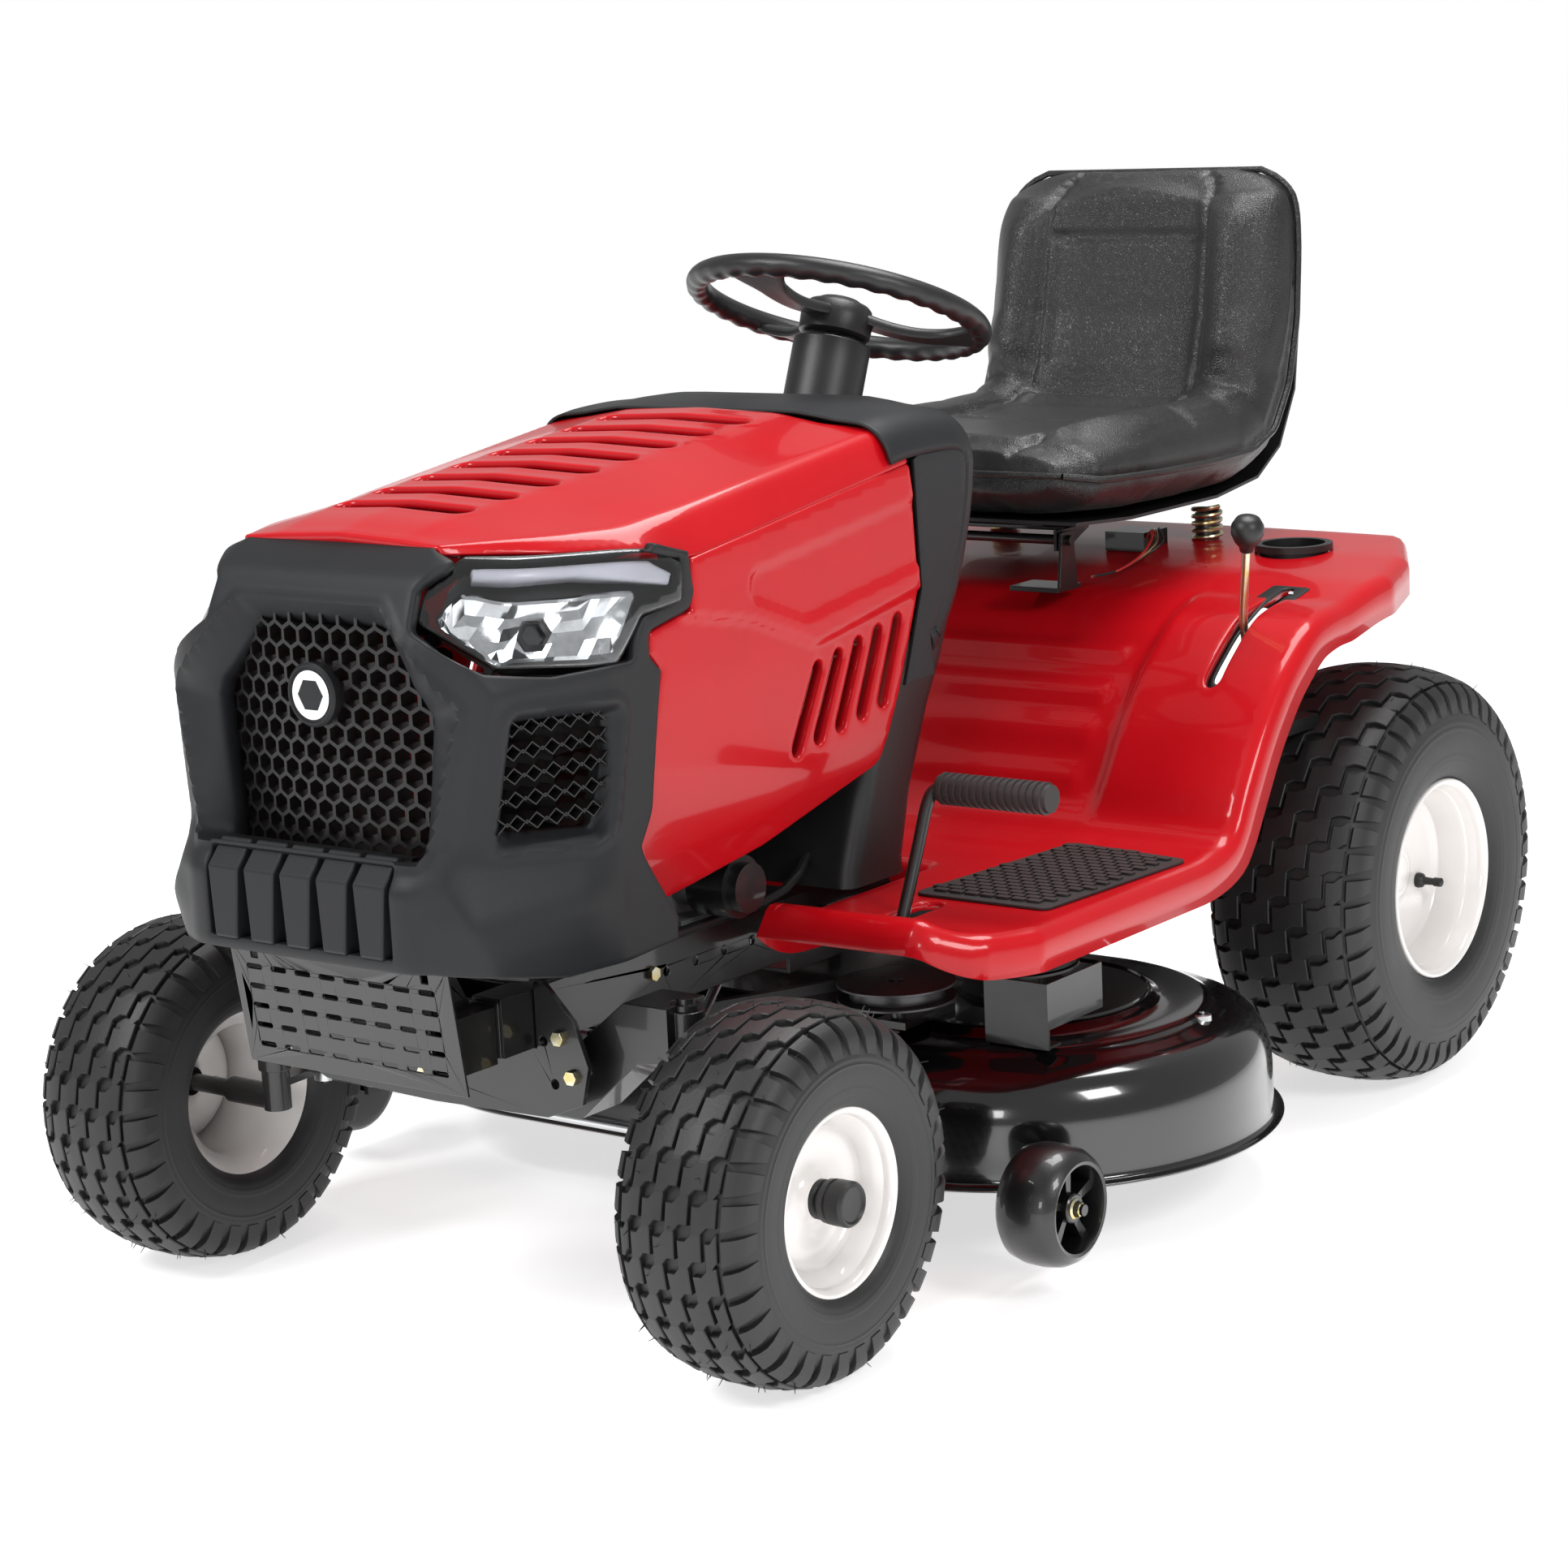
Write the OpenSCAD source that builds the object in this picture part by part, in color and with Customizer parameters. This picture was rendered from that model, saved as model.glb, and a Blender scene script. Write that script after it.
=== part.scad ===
// Riding lawn mower, front-engine lawn tractor with a side-discharge deck.
// Built on a datum on the ground below the middle of the front axle. The front faces -Y,
// +X is the operator's left and +Z is up. place() moves the datum so that the origin is
// at the bottom centre of the whole machine.

/* [Chassis] */
// Distance from the front axle to the rear axle
wheelbase = 1190; // [1120:5:1280]
// Distance between the front wheels' centre planes
front_track = 788; // [770:2:860]
// Distance between the rear wheels' centre planes
rear_track = 792; // [770:2:860]
// Distance between the outer faces of the frame rails
frame_w = 280; // [250:2:300]
// Height of the underside of the frame rails
rail_z = 290; // [284:1:296]
// Height of a frame rail's web
rail_h = 82; // [76:1:90]
// Sheet thickness of the frame
sheet_t = 4; // [3:0.5:5]

/* [Wheels] */
// Outer diameter of a front tyre
front_tyre_d = 374; // [350:2:380]
// Section width of a front tyre
front_tyre_w = 157; // [130:1:165]
// Diameter of a front rim's flange
front_rim_d = 176; // [150:2:190]
// Outer diameter of a rear tyre
rear_tyre_d = 504; // [460:2:520]
// Section width of a rear tyre
rear_tyre_w = 207; // [170:1:212]
// Diameter of a rear rim's flange
rear_rim_d = 230; // [200:2:250]
// Diameter of the axle stubs and axle shafts
axle_d = 19; // [16:0.5:22]

/* [Steering] */
// Outer diameter of the steering wheel
steering_wheel_d = 350; // [300:5:380]
// Height of the steering wheel's centre
steering_wheel_z = 969; // [950:1:1010]
// Distance of the steering wheel's centre behind the front axle
steering_wheel_y = 689; // [680:1:700]
// Rake of the steering column from the vertical
column_rake = 22; // [20:1:24]
// Distance between the kingpins
kingpin_track = 570; // [560:1:580]
// Length of each steering arm
steering_arm = 58; // [50:1:62]

/* [Body] */
// Overall width of the hood and bezel
hood_w = 484; // [460:2:500]
// Sheet thickness of the hood
hood_t = 3; // [2:0.5:5]
// Width of the fender across the foot boards
fender_w = 930; // [900:2:960]
// Sheet thickness of the fender
fender_t = 3; // [2:0.5:5]
// Depth of the fender's turned-down lip
lip_h = 38; // [25:1:50]
// Inner diameter of the cup holder
cup_d = 76; // [66:1:86]

/* [Seat] */
// Width of the seat cushion
seat_w = 450; // [400:2:480]
// Height of the top of the seat's back
seat_top_z = 1092; // [1040:2:1120]

/* [Cutting deck] */
// Distance between the two blade shafts
blade_spacing = 510; // [490:2:530]
// Radius of the deck's outer wall round each blade shaft
deck_r = 280; // [268:1:290]
// Distance of the blade shafts behind the front axle
deck_y = 620; // [610:1:640]
// Height of the deck's lower edge above the ground
deck_rim_z = 80; // [70:1:84]
// Thickness of the deck's sheet
deck_t = 3; // [2:0.5:4]
// Length of a blade
blade_l = 500; // [460:2:505]
// Width of the gap that the deflector covers
chute_w = 300; // [240:5:320]
// Length of the deflector down its slope
deflector_l = 150; // [120:2:170]
// Width of the drive belt on the deck's pulleys
belt_w = 10; // [8:0.5:13]
// Diameter of a gauge wheel
gauge_wheel_d = 127; // [115:1:130]

/* [Hidden] */
$fn = 64;

// Clearance of a shaft that turns in a bore, on the radius
running = 0.05;
// Clearance between neighbouring pieces that move past each other
gap = 0.5;

rail_x = frame_w / 2;
rail_top = rail_z + rail_h;
floor_z = rail_top + fender_t;
rail_front = -105;
rail_back = wheelbase + 140;
axle_arch_z = rail_z + 22;
front_r = front_tyre_d / 2;
rear_r = rear_tyre_d / 2;
kingpin_x = kingpin_track / 2;
beam_h = 60;
axle_pivot_z = rail_z - 24;
pivot_bolt_r = 8;
shaft_r = axle_d / 2;
link_pin_r = 6;

deck_x = blade_spacing / 2;
rim_flange = 12;
deck_top_z = deck_rim_z + 126;
pad_z = deck_top_z + 16;
belt_z = pad_z + 40;
belt_h = 12;
spindle_r = 12.5;
spindle_pulley_r = 62;
engine_pulley_r = 52;
idler_r = 57;
crank = [0, 240];
idler = [220, 440];
lift_shaft_y = 930;
lift_shaft_z = rail_z + 40;
lift_shaft_r = 10;
lift_arm = 92;

hinge_y = -150;
hinge_z = 400;
hinge_r = 5;
hinge_arm_x = 112;
seat_pivot = [950, 676];
shift_pivot = [360, 965, 470];
shift_kink = [374, 930, 600];
shift_knob = [400, 899, 704];
pedal_y = 330;
pedal_z = 345;
pedal_r = 7;
cup_pos = [290, 1200];
half_fender = fender_w / 2;

deflector_x = deck_x + deck_r + 38;
deflector_slope = 38;
machine_left = deck_x + deck_r + rim_flange;
machine_right = deflector_x + deflector_l * cos(deflector_slope);
machine_front = -232;
machine_back = wheelbase + 280;

// Moves the datum so that the origin is at the middle of the machine's footprint
module place() {
    translate([(machine_right - machine_left) / 2, -(machine_front + machine_back) / 2, 0])
        children();
}

// The piece and its mirror image on the other side of the machine
module both_sides() {
    children();
    mirror([1, 0, 0]) children();
}

// A plate seen from the side: points are [y, z], and it is t thick from x0 towards +X
module side_plate(points, x0, t) {
    translate([x0, 0, 0]) rotate([90, 0, 90]) linear_extrude(t) polygon(points);
}

// A plate seen from the front: points are [x, z], and it is t thick from y0 towards +Y
module front_plate(points, y0, t) {
    translate([0, y0 + t, 0]) rotate([90, 0, 0]) linear_extrude(t) polygon(points);
}

// A box between two corners
module block(low, high) {
    translate(low) cube(high - low);
}

// A round bar along X, Y or Z, from a to b
module bar_x(r, a, b, y, z) {
    translate([a, y, z]) rotate([0, 90, 0]) cylinder(r = r, h = b - a);
}

module bar_y(r, a, b, x, z) {
    translate([x, a, z]) rotate([-90, 0, 0]) cylinder(r = r, h = b - a);
}

module bar_z(r, a, b, x, y) {
    translate([x, y, a]) cylinder(r = r, h = b - a);
}

// A straight round rod between two points
module rod(a, b, r) {
    d = b - a;
    translate(a)
        rotate([0, acos(d[2] / norm(d)), atan2(d[1], d[0])])
            cylinder(r = r, h = norm(d), $fn = 24);
}

function unit(v) = v / norm(v);
function left_of(v) = [-v[1], v[0]];
function side_normal(p, i) = left_of(unit(p[i + 1] - p[i]));
function mitre(p, i) =
    let (s = side_normal(p, max(i - 1, 0)) + side_normal(p, min(i, len(p) - 2)))
    s * 2 / (s * s);
function shifted(p, t) = [for (i = [0 : len(p) - 1]) p[i] + t * mitre(p, i)];
function reversed(p) = [for (i = [len(p) - 1 : -1 : 0]) p[i]];
// A strip t wide along the left-hand side of an open line
function ribbon(p, t) = concat(p, reversed(shifted(p, t)));
function mirrored(p) = concat([for (q = reversed(p)) [-q[0], q[1]]], p);
function lowered(p, d) = [for (q = p) [q[0], q[1] - d]];
function arc(c, r, from, to, steps) =
    [for (i = [0 : steps]) let (a = from + (to - from) * i / steps) c + r * [cos(a), sin(a)]];

// ---- frame -------------------------------------------------------------------------------

rail_web = [[rail_front, axle_arch_z], [48, axle_arch_z], [62, rail_z], [rail_back, rail_z],
            [rail_back, rail_top], [rail_front, rail_top]];
rail_hole_r = 5;

module frame_rails() {
    color("#17181a") place() both_sides() difference() {
        union() {
            side_plate(rail_web, rail_x - sheet_t, sheet_t);
            block([rail_x - 38, rail_front, rail_top - sheet_t], [rail_x, rail_back, rail_top]);
            block([rail_x - 38, 62, rail_z], [rail_x, rail_back, rail_z + sheet_t]);
        }
        for (y = [150 : 48 : 390])
            bar_x(rail_hole_r, rail_x - 10, rail_x + 10, y, rail_z + rail_h * 0.62);
        bar_x(lift_shaft_r + running, rail_x - 10, rail_x + 10, lift_shaft_y, lift_shaft_z);
        // notch over the drag link's sweep
        block([rail_x - 45, 170, rail_z - 5], [rail_x + 5, 356, rail_z + 16]);
    }
}

pivot_plate = [[0, axle_pivot_z - 28], [150, axle_pivot_z - 24], [196, axle_pivot_z - 6],
               [206, axle_pivot_z + 34], [190, axle_pivot_z + 78], [150, rail_top + 12],
               [0, rail_top + 12]];
hitch_r = 6.5;
tongue = 62;

module frame_crossmembers() {
    inner = rail_x - sheet_t;
    color("#17181a") place() {
        difference() {
            front_plate(mirrored(pivot_plate), -58, 6);
            bar_y(pivot_bolt_r + running, -70, -40, 0, axle_pivot_z);
            both_sides() for (p = [[162, 258], [150, 300]]) bar_y(5, -70, -40, p[0], p[1] + 20);
            bar_y(conduit_r + 2, -70, -40, 146, 385);
            block([-rail_x - 1, -60, rail_top], [rail_x + 1, -50, rail_top + 20]);
            both_sides() block([rail_x - 38 - 1, -60, rail_top - sheet_t], [rail_x + 1, -50, rail_top]);
            both_sides() block([inner - 1, -60, axle_arch_z], [rail_x + 1, -50, rail_top]);
        }
        difference() {
            front_plate([[-90, axle_pivot_z - 28], [90, axle_pivot_z - 28],
                         [90, rail_top - 6], [-90, rail_top - 6]], 46, 6);
            bar_y(pivot_bolt_r + running, 40, 60, 0, axle_pivot_z);
        }
        block([-inner, rail_front, axle_arch_z], [inner, rail_front + sheet_t, rail_top - sheet_t]);
        block([-90, rail_front, rail_top - 40], [90, 52, rail_top - 34]);
        difference() {
            union() {
                block([-rail_x, rail_back, rail_z - 50], [rail_x, rail_back + 6, rail_top]);
                block([-52, rail_back, rail_z - 50], [52, rail_back + tongue, rail_z - 44]);
            }
            bar_z(hitch_r, rail_z - 60, rail_z - 40, 0, rail_back + tongue - 28);
        }
    }
}

bumper_w = 292;
bumper_h = 132;
bumper_tilt = 8;
slot_rows = 5;
slot_columns = 8;

module bumper_slot() {
    translate([-8, -2.5]) square([16, 5]);
    both_sides() translate([8, 0]) circle(r = 2.5, $fn = 16);
}

module bumper() {
    color("#1b1c1e") place() {
        difference() {
            translate([0, -163, rail_z]) rotate([bumper_tilt, 0, 0]) rotate([90, 0, 0]) {
                linear_extrude(3) difference() {
                    translate([-bumper_w / 2, 0]) square([bumper_w, bumper_h]);
                    for (row = [1 : slot_rows], column = [1 : slot_columns])
                        translate([-bumper_w / 2 + column * 33 - 4, row * 21]) bumper_slot();
                }
                // rolled top edge
                translate([-bumper_w / 2, bumper_h - 3, -15]) cube([bumper_w, 3, 17]);
            }
            // slots that the hood's hinge arms swing through
            both_sides() block([hinge_arm_x - 3, -210, hinge_z + 3], [hinge_arm_x + 7, hinge_y, hinge_z + 40]);
        }
        both_sides() {
            difference() {
                block([100, -164, axle_arch_z - 6], [132, rail_front - 0.2, rail_top - 8]);
                block([104, -170, axle_arch_z - 2], [128, rail_front - 4, rail_top - 12]);
            }
            difference() {
                side_plate([[hinge_y - 16, rail_top - 12], [hinge_y + 40, rail_top - 12],
                            [hinge_y + 12, hinge_z + 10], [hinge_y - 12, hinge_z + 10]], 104, 4);
                bar_x(hinge_r + running, 90, 120, hinge_y, hinge_z);
            }
        }
    }
}

bolt_spots = [[115, rail_top - 24], [172, axle_pivot_z + 60], [186, axle_pivot_z + 22]];

module bolt(head_r, length) {
    cylinder(r = head_r, h = 5, $fn = 6);
    translate([0, 0, -length]) cylinder(r = head_r * 0.55, h = length);
}

module frame_bolts() {
    color("#b79a4a") place() {
        both_sides() {
            for (p = bolt_spots) translate([p[0], -58, p[1]]) rotate([90, 0, 0]) cylinder(r = 8, h = 6, $fn = 6);
            for (y = [126, 420]) translate([rail_x, y, rail_z + rail_h * 0.66]) rotate([0, 90, 0])
                cylinder(r = 8, h = 6, $fn = 6);
            translate([rail_x, 150, rail_z + 14]) rotate([0, 90, 0]) cylinder(r = 8, h = 6, $fn = 6);
        }
        bar_y(pivot_bolt_r, -64, 60, 0, axle_pivot_z);
        translate([0, -64, axle_pivot_z]) rotate([90, 0, 0]) cylinder(r = 13, h = 8, $fn = 6);
        translate([0, 68, axle_pivot_z]) rotate([90, 0, 0]) cylinder(r = 13, h = 8, $fn = 6);
    }
}

// Wiring conduit, held along the left frame rail from the bezel to the pedestal
conduit_route = [[96, -92, 392], [120, -84, 388], [142, -66, 386], [150, -40, 384], [150, 20, 382],
                 [150, 90, 380], [150, 160, 380], [150, 230, 380], [150, 300, 380], [150, 340, 386],
                 [148, 370, 398], [140, 396, 412]];
conduit_r = 5.5;
conduit_sides = 10;

function tangent_at(p, i) = unit(p[min(i + 1, len(p) - 1)] - p[max(i - 1, 0)]);
function ring_at(p, i, r, n) =
    let (t = tangent_at(p, i), u = unit(cross(t, [0.1, 0.2, 1])), v = cross(t, u))
    [for (k = [0 : n - 1]) p[i] + r * (cos(360 * k / n) * u + sin(360 * k / n) * v)];

module swept_tube(p, r, n) {
    rings = [for (i = [0 : len(p) - 1]) each ring_at(p, i, r, n)];
    walls = [for (i = [0 : len(p) - 2], k = [0 : n - 1])
             let (a = i * n + k, b = i * n + (k + 1) % n) [a, a + n, b + n, b]];
    polyhedron(rings, concat([[for (k = [0 : n - 1]) k]], walls,
                             [[for (k = [n - 1 : -1 : 0]) (len(p) - 1) * n + k]]));
}

module harness_conduit() {
    color("#101112") place() swept_tube(conduit_route, conduit_r, conduit_sides);
}

// ---- engine ------------------------------------------------------------------------------

crank_r = 12.7;

module engine_block() {
    color("#3a3d40") place() difference() {
        union() {
            bar_z(118, rail_top, rail_top + 118, crank[0], crank[1]);
            block([-92, crank[1] - 190, rail_top + 34], [92, crank[1], rail_top + 108]);
            both_sides() block([rail_x - 60, crank[1] - 60, rail_top], [rail_x - 2, crank[1] + 60, rail_top + 14]);
            bar_z(48, rail_z + 40, rail_top, crank[0], crank[1]);
            bar_x(22, 100, rail_x, crank[1] - 20, rail_top + 44);
        }
        bar_z(crank_r + running, rail_z, rail_top + 60, crank[0], crank[1]);
    }
}

module blower_housing() {
    color("#202224") place() difference() {
        union() {
            bar_z(150, rail_top + 124, rail_top + 250, crank[0], crank[1]);
            bar_z(96, rail_top + 250, rail_top + 280, crank[0], crank[1]);
            block([-96, crank[1] - 196, rail_top + 118.5], [96, crank[1] - 60, rail_top + 210]);
        }
        bar_z(144, rail_top + 118, rail_top + 244, crank[0], crank[1]);
        bar_z(84, rail_top + 240, rail_top + 290, crank[0], crank[1]);
        block([-90, crank[1] - 190, rail_top + 106], [90, crank[1], rail_top + 204]);
    }
    color("#202224") place() bar_z(140, rail_top + 118, rail_top + 123, crank[0], crank[1]);
}

module muffler() {
    color("#6d6a66") place() {
        bar_x(46, -110, 110, -10, rail_top + 84);
        bar_y(14, 20, 50, 60, rail_top + 84);
        rod([-60, -10, rail_top + 84], [-60, -40, rail_top + 28], 12);
    }
}

filter_z = rail_top + 47.5;

module oil_filter() {
    color("#2b2d30") place() {
        bar_x(33, rail_x, 188, crank[1] - 20, filter_z);
        bar_x(26, 188, 200, crank[1] - 20, filter_z);
    }
}

module fuel_tank() {
    color("#d8d4c6") place() {
        difference() {
            block([-170, 402, rail_top + 190], [170, 470, rail_top + 420]);
            block([-164, 408, rail_top + 196], [164, 464, rail_top + 414]);
        }
        bar_z(26, rail_top + 420, rail_top + 440, 60, 436);
        bar_z(34, rail_top + 440, rail_top + 462, 60, 436);
    }
}

module battery() {
    color("#1d2a33") place() {
        block([-98, 1010, rail_top - 10], [32, 1140, rail_top + 150]);
        for (x = [-76, 10]) bar_z(9, rail_top + 150, rail_top + 164, x, 1034);
    }
}

// ---- transaxle ---------------------------------------------------------------------------

module transaxle() {
    color("#7c8084") place() difference() {
        union() {
            block([-76, wheelbase - 90, rear_r - 70], [76, wheelbase + 96, rear_r + 66]);
            bar_x(32, -224, 224, wheelbase, rear_r);
            both_sides() block([rail_x - 36, wheelbase - 44, rear_r + 20], [rail_x, wheelbase + 44, rail_z]);
        }
        bar_x(shaft_r + running, -240, 240, wheelbase, rear_r);
    }
}

// ---- wheels ------------------------------------------------------------------------------

// Half of a tyre's section as [radius, distance along the axle]: tread, shoulder, side and bead
function tyre_half(r, w, rim_r) =
    [[r, 0], [r, w * 0.24], [r - 0.035 * r, w * 0.37], [r - 0.11 * r, w * 0.46],
     [r - 0.24 * r, w * 0.5], [rim_r + 0.18 * rim_r, w * 0.47], [rim_r, w * 0.37]];
function tyre_line(r, w, rim_r) =
    let (half = tyre_half(r, w, rim_r))
    concat(reversed([for (q = half) [q[0], -q[1]]]), [for (i = [1 : len(half) - 1]) half[i]]);

module tyre(d, w, rim_d) {
    line = tyre_line(d / 2, w, rim_d / 2);
    rotate([0, 90, 0]) rotate_extrude($fn = 96) polygon(ribbon(line, 9));
}

// A rim with its drop centre, wheel disc and hub; +X is the outer side
function rim_line(r, w) =
    [[r, -w / 2], [r - 3, -w / 2 + 8], [r - 13, -w / 2 + 12], [r - 15, -w / 4], [r - 22, -w / 6],
     [r - 22, w / 6], [r - 15, w / 4], [r - 13, w / 2 - 12], [r - 3, w / 2 - 8], [r, w / 2]];

module rim(d, w, hub_r, hub_in, hub_out, disc_x) {
    rotate([0, 90, 0]) rotate_extrude($fn = 96) polygon(ribbon(rim_line(d / 2, w), 2.5));
    difference() {
        union() {
            rotate([0, 90, 0]) rotate_extrude($fn = 96)
                polygon(ribbon([[hub_r - 2, disc_x + 10], [hub_r + 14, disc_x + 9], [d / 2 - 38, disc_x - 6],
                                [d / 2 - 25, -2]], 3));
            bar_x(hub_r, -hub_in, hub_out, 0, 0);
        }
        bar_x(shaft_r + running, -hub_in - 1, hub_out + 1, 0, 0);
    }
}

module front_hub_cap() {
    difference() {
        bar_x(17, 34, 62, 0, 0);
        bar_x(shaft_r + running, 30, 56, 0, 0);
    }
}

module valve_stem(r, x) {
    bar_x(4, x, x + 22, 0, r);
}

rim_w_front = 140;
rim_w_rear = 190;
front_disc_x = 22;
rear_disc_x = 46;

module front_wheel_at(side) {
    translate([side * front_track / 2, 0, front_r]) mirror([side > 0 ? 0 : 1, 0, 0]) children();
}

module rear_wheel_at(side) {
    translate([side * rear_track / 2, wheelbase, rear_r]) mirror([side > 0 ? 0 : 1, 0, 0]) children();
}

module front_tyre(side) {
    color("#1e1f21") place() front_wheel_at(side) tyre(front_tyre_d, front_tyre_w, front_rim_d);
}

module rear_tyre(side) {
    color("#1e1f21") place() rear_wheel_at(side) tyre(rear_tyre_d, rear_tyre_w, rear_rim_d);
}

module front_rim(side) {
    color("#e9e5df") place() front_wheel_at(side) {
        rim(front_rim_d, rim_w_front, 17, 40, 34, front_disc_x);
        front_hub_cap();
        valve_stem(48, front_disc_x - 4);
    }
}

// The axle shaft is pressed into the rear hub and turns in the transaxle's tube
module rear_rim(side) {
    color("#e9e5df") place() {
        rear_wheel_at(side) {
            rim(rear_rim_d, rim_w_rear, 24, 66, 70, rear_disc_x);
            valve_stem(72, rear_disc_x - 8);
            bar_x(shaft_r + running, 62, 74, 0, 0);
        }
        mirror([side > 0 ? 0 : 1, 0, 0]) bar_x(shaft_r, 150, rear_track / 2 + 70, wheelbase, rear_r);
    }
}

// ---- front axle and steering -------------------------------------------------------------

kingpin_r = 9.5;
kingpin_low = front_r + 26;
kingpin_high = front_r + 176;
beam_end_z = axle_pivot_z + 66;
axle_line = [[0, axle_pivot_z + 30], [150, axle_pivot_z + 30], [kingpin_x - 54, beam_end_z + 30],
             [kingpin_x, beam_end_z + 30]];
axle_line_low = [[kingpin_x, beam_end_z - 26], [kingpin_x - 40, beam_end_z - 30],
                 [170, axle_pivot_z - 30], [0, axle_pivot_z - 30]];
axle_outline = mirrored(axle_line);
axle_y = 30;

module front_axle() {
    color("#17181a") place() difference() {
        union() {
            difference() {
                front_plate(concat(axle_outline, axle_line_low, [for (q = reversed(axle_line_low)) [-q[0], q[1]]]),
                            -axle_y, 2 * axle_y);
                front_plate([[-164, axle_pivot_z - 24], [164, axle_pivot_z - 24], [kingpin_x - 46, beam_end_z - 22],
                             [kingpin_x - 46, beam_end_z + 24], [150, axle_pivot_z + 24], [-150, axle_pivot_z + 24],
                             [46 - kingpin_x, beam_end_z + 24], [46 - kingpin_x, beam_end_z - 22]],
                            -axle_y + 5, 2 * axle_y);
            }
            both_sides() bar_z(18, kingpin_low + 6, kingpin_high - 8, kingpin_x, 0);
            bar_y(18, -axle_y, axle_y + 12, 0, axle_pivot_z);
        }
        both_sides() {
            bar_z(kingpin_r + running, kingpin_low - 10, kingpin_high + 10, kingpin_x, 0);
            bar_z(15, kingpin_high - 8, kingpin_high + 10, kingpin_x, 0);
        }
        bar_y(pivot_bolt_r + running, -50, 60, 0, axle_pivot_z);
    }
}

arm_z = kingpin_low - 12;
tie_arm = 74;

module link_arm(at, to) {
    hull() {
        translate([at[0], at[1], 0]) cylinder(r = 15, h = 8);
        translate([to[0], to[1], 0]) cylinder(r = 11, h = 8);
    }
}

module spindle_core() {
    bar_z(kingpin_r, kingpin_low - 6, kingpin_high + 4, kingpin_x, 0);
    bar_z(15, front_r - 12, kingpin_low + 5.5, kingpin_x, 0);
    bar_z(14, kingpin_high - 7.5, kingpin_high - 2, kingpin_x, 0);
    bar_x(shaft_r, kingpin_x, front_track / 2 + 54, 0, front_r);
    bar_x(14, kingpin_x, front_track / 2 - 42, 0, front_r);
    translate([0, 0, arm_z]) link_arm([kingpin_x, 0], [kingpin_x, tie_arm]);
    bar_z(link_pin_r, arm_z - 16, arm_z + 4, kingpin_x, tie_arm);
}

module spindle_left() {
    color("#222426") place() {
        spindle_core();
        translate([0, 0, arm_z]) link_arm([kingpin_x, 0], [kingpin_x - steering_arm, 0]);
        bar_z(link_pin_r, arm_z - 2, arm_z + 20, kingpin_x - steering_arm, 0);
    }
}

module spindle_right() {
    color("#222426") place() mirror([1, 0, 0]) spindle_core();
}

module tie_rod() {
    // the rod hangs below the arms, clear of the drag link above them
    rod_z = arm_z - 7;
    color("#8d9093") place() {
        bar_x(5.5, -kingpin_x + 11.5, kingpin_x - 11.5, tie_arm, rod_z);
        both_sides() difference() {
            bar_z(12, rod_z - 5.5, rod_z + 6, kingpin_x, tie_arm);
            bar_z(link_pin_r + gap, rod_z - 10, rod_z + 10, kingpin_x, tie_arm);
        }
    }
}

// The steering shaft ends at a universal joint over an upright pinion, which turns a toothed sector
gear_module = 3.2;
pinion_teeth = 10;
sector_teeth = 40;
pinion_pitch_r = gear_module * pinion_teeth / 2;
sector_pitch_r = gear_module * sector_teeth / 2;
column_foot = 640;
pinion_y = steering_wheel_y - column_foot * sin(column_rake);
column_foot_z = steering_wheel_z - column_foot * cos(column_rake);
sector_y = pinion_y - pinion_pitch_r - sector_pitch_r;
gear_low = column_foot_z - 50;
gear_h = 8;

// One tooth as [radius, angle]: each half is a list of [modules from the pitch circle, share of the pitch]
tooth_flank = [[-1.15, 0.22], [-0.1, 0.12], [0.75, 0.06]];
function tooth(pitch_r, m) = let (pitch_angle = 180 * m / pitch_r)
    [for (side = [-1, 1], q = side < 0 ? tooth_flank : reversed(tooth_flank))
     [pitch_r + q[0] * m, side * q[1] * pitch_angle]];
function gear_points(pitch_r, m, teeth, from, count) =
    [for (i = [0 : count - 1], q = tooth(pitch_r, m))
     let (a = from + 360 / teeth * i + q[1]) q[0] * [cos(a), sin(a)]];

module steering_sector() {
    color("#55585c") place() difference() {
        union() {
            translate([0, sector_y, gear_low]) linear_extrude(gear_h)
                polygon(concat([[22, -6], [22, 10]],
                               gear_points(sector_pitch_r, gear_module, sector_teeth, 90 - 54, 13),
                               [[-22, 10], [-22, -6]]));
            translate([0, sector_y, gear_low]) linear_extrude(gear_h)
                translate([0, -11]) square([steering_arm, 22]);
            bar_z(11, gear_low, gear_low + gear_h, steering_arm, sector_y);
            bar_z(18, gear_low, gear_low + 14, 0, sector_y);
            bar_z(link_pin_r, gear_low - 26, gear_low + 2, steering_arm, sector_y);
        }
        bar_z(8 + running, gear_low - 2, gear_low + 20, 0, sector_y);
    }
}

module steering_pinion() {
    color("#8d9093") place() {
        translate([0, pinion_y, gear_low]) linear_extrude(gear_h)
            polygon(gear_points(pinion_pitch_r, gear_module, pinion_teeth, -90 + 18, pinion_teeth));
        bar_z(8, gear_low - 8, column_foot_z - 16, 0, pinion_y);
        bar_z(12, column_foot_z - 30, column_foot_z - 14, 0, pinion_y);
    }
}

drag_front = [kingpin_x - steering_arm, 0, arm_z + 14];
drag_back = [steering_arm, sector_y, gear_low - 14];

drag_slot = [-26, 4];

// Plan outline of a slot along X at the drag link's rear end
module slot_outline(r) {
    translate([drag_back[0] + drag_slot[0], drag_back[1] - r]) square([drag_slot[1] - drag_slot[0], 2 * r]);
    for (x = drag_slot) translate([drag_back[0] + x, drag_back[1]]) circle(r = r);
}

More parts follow.
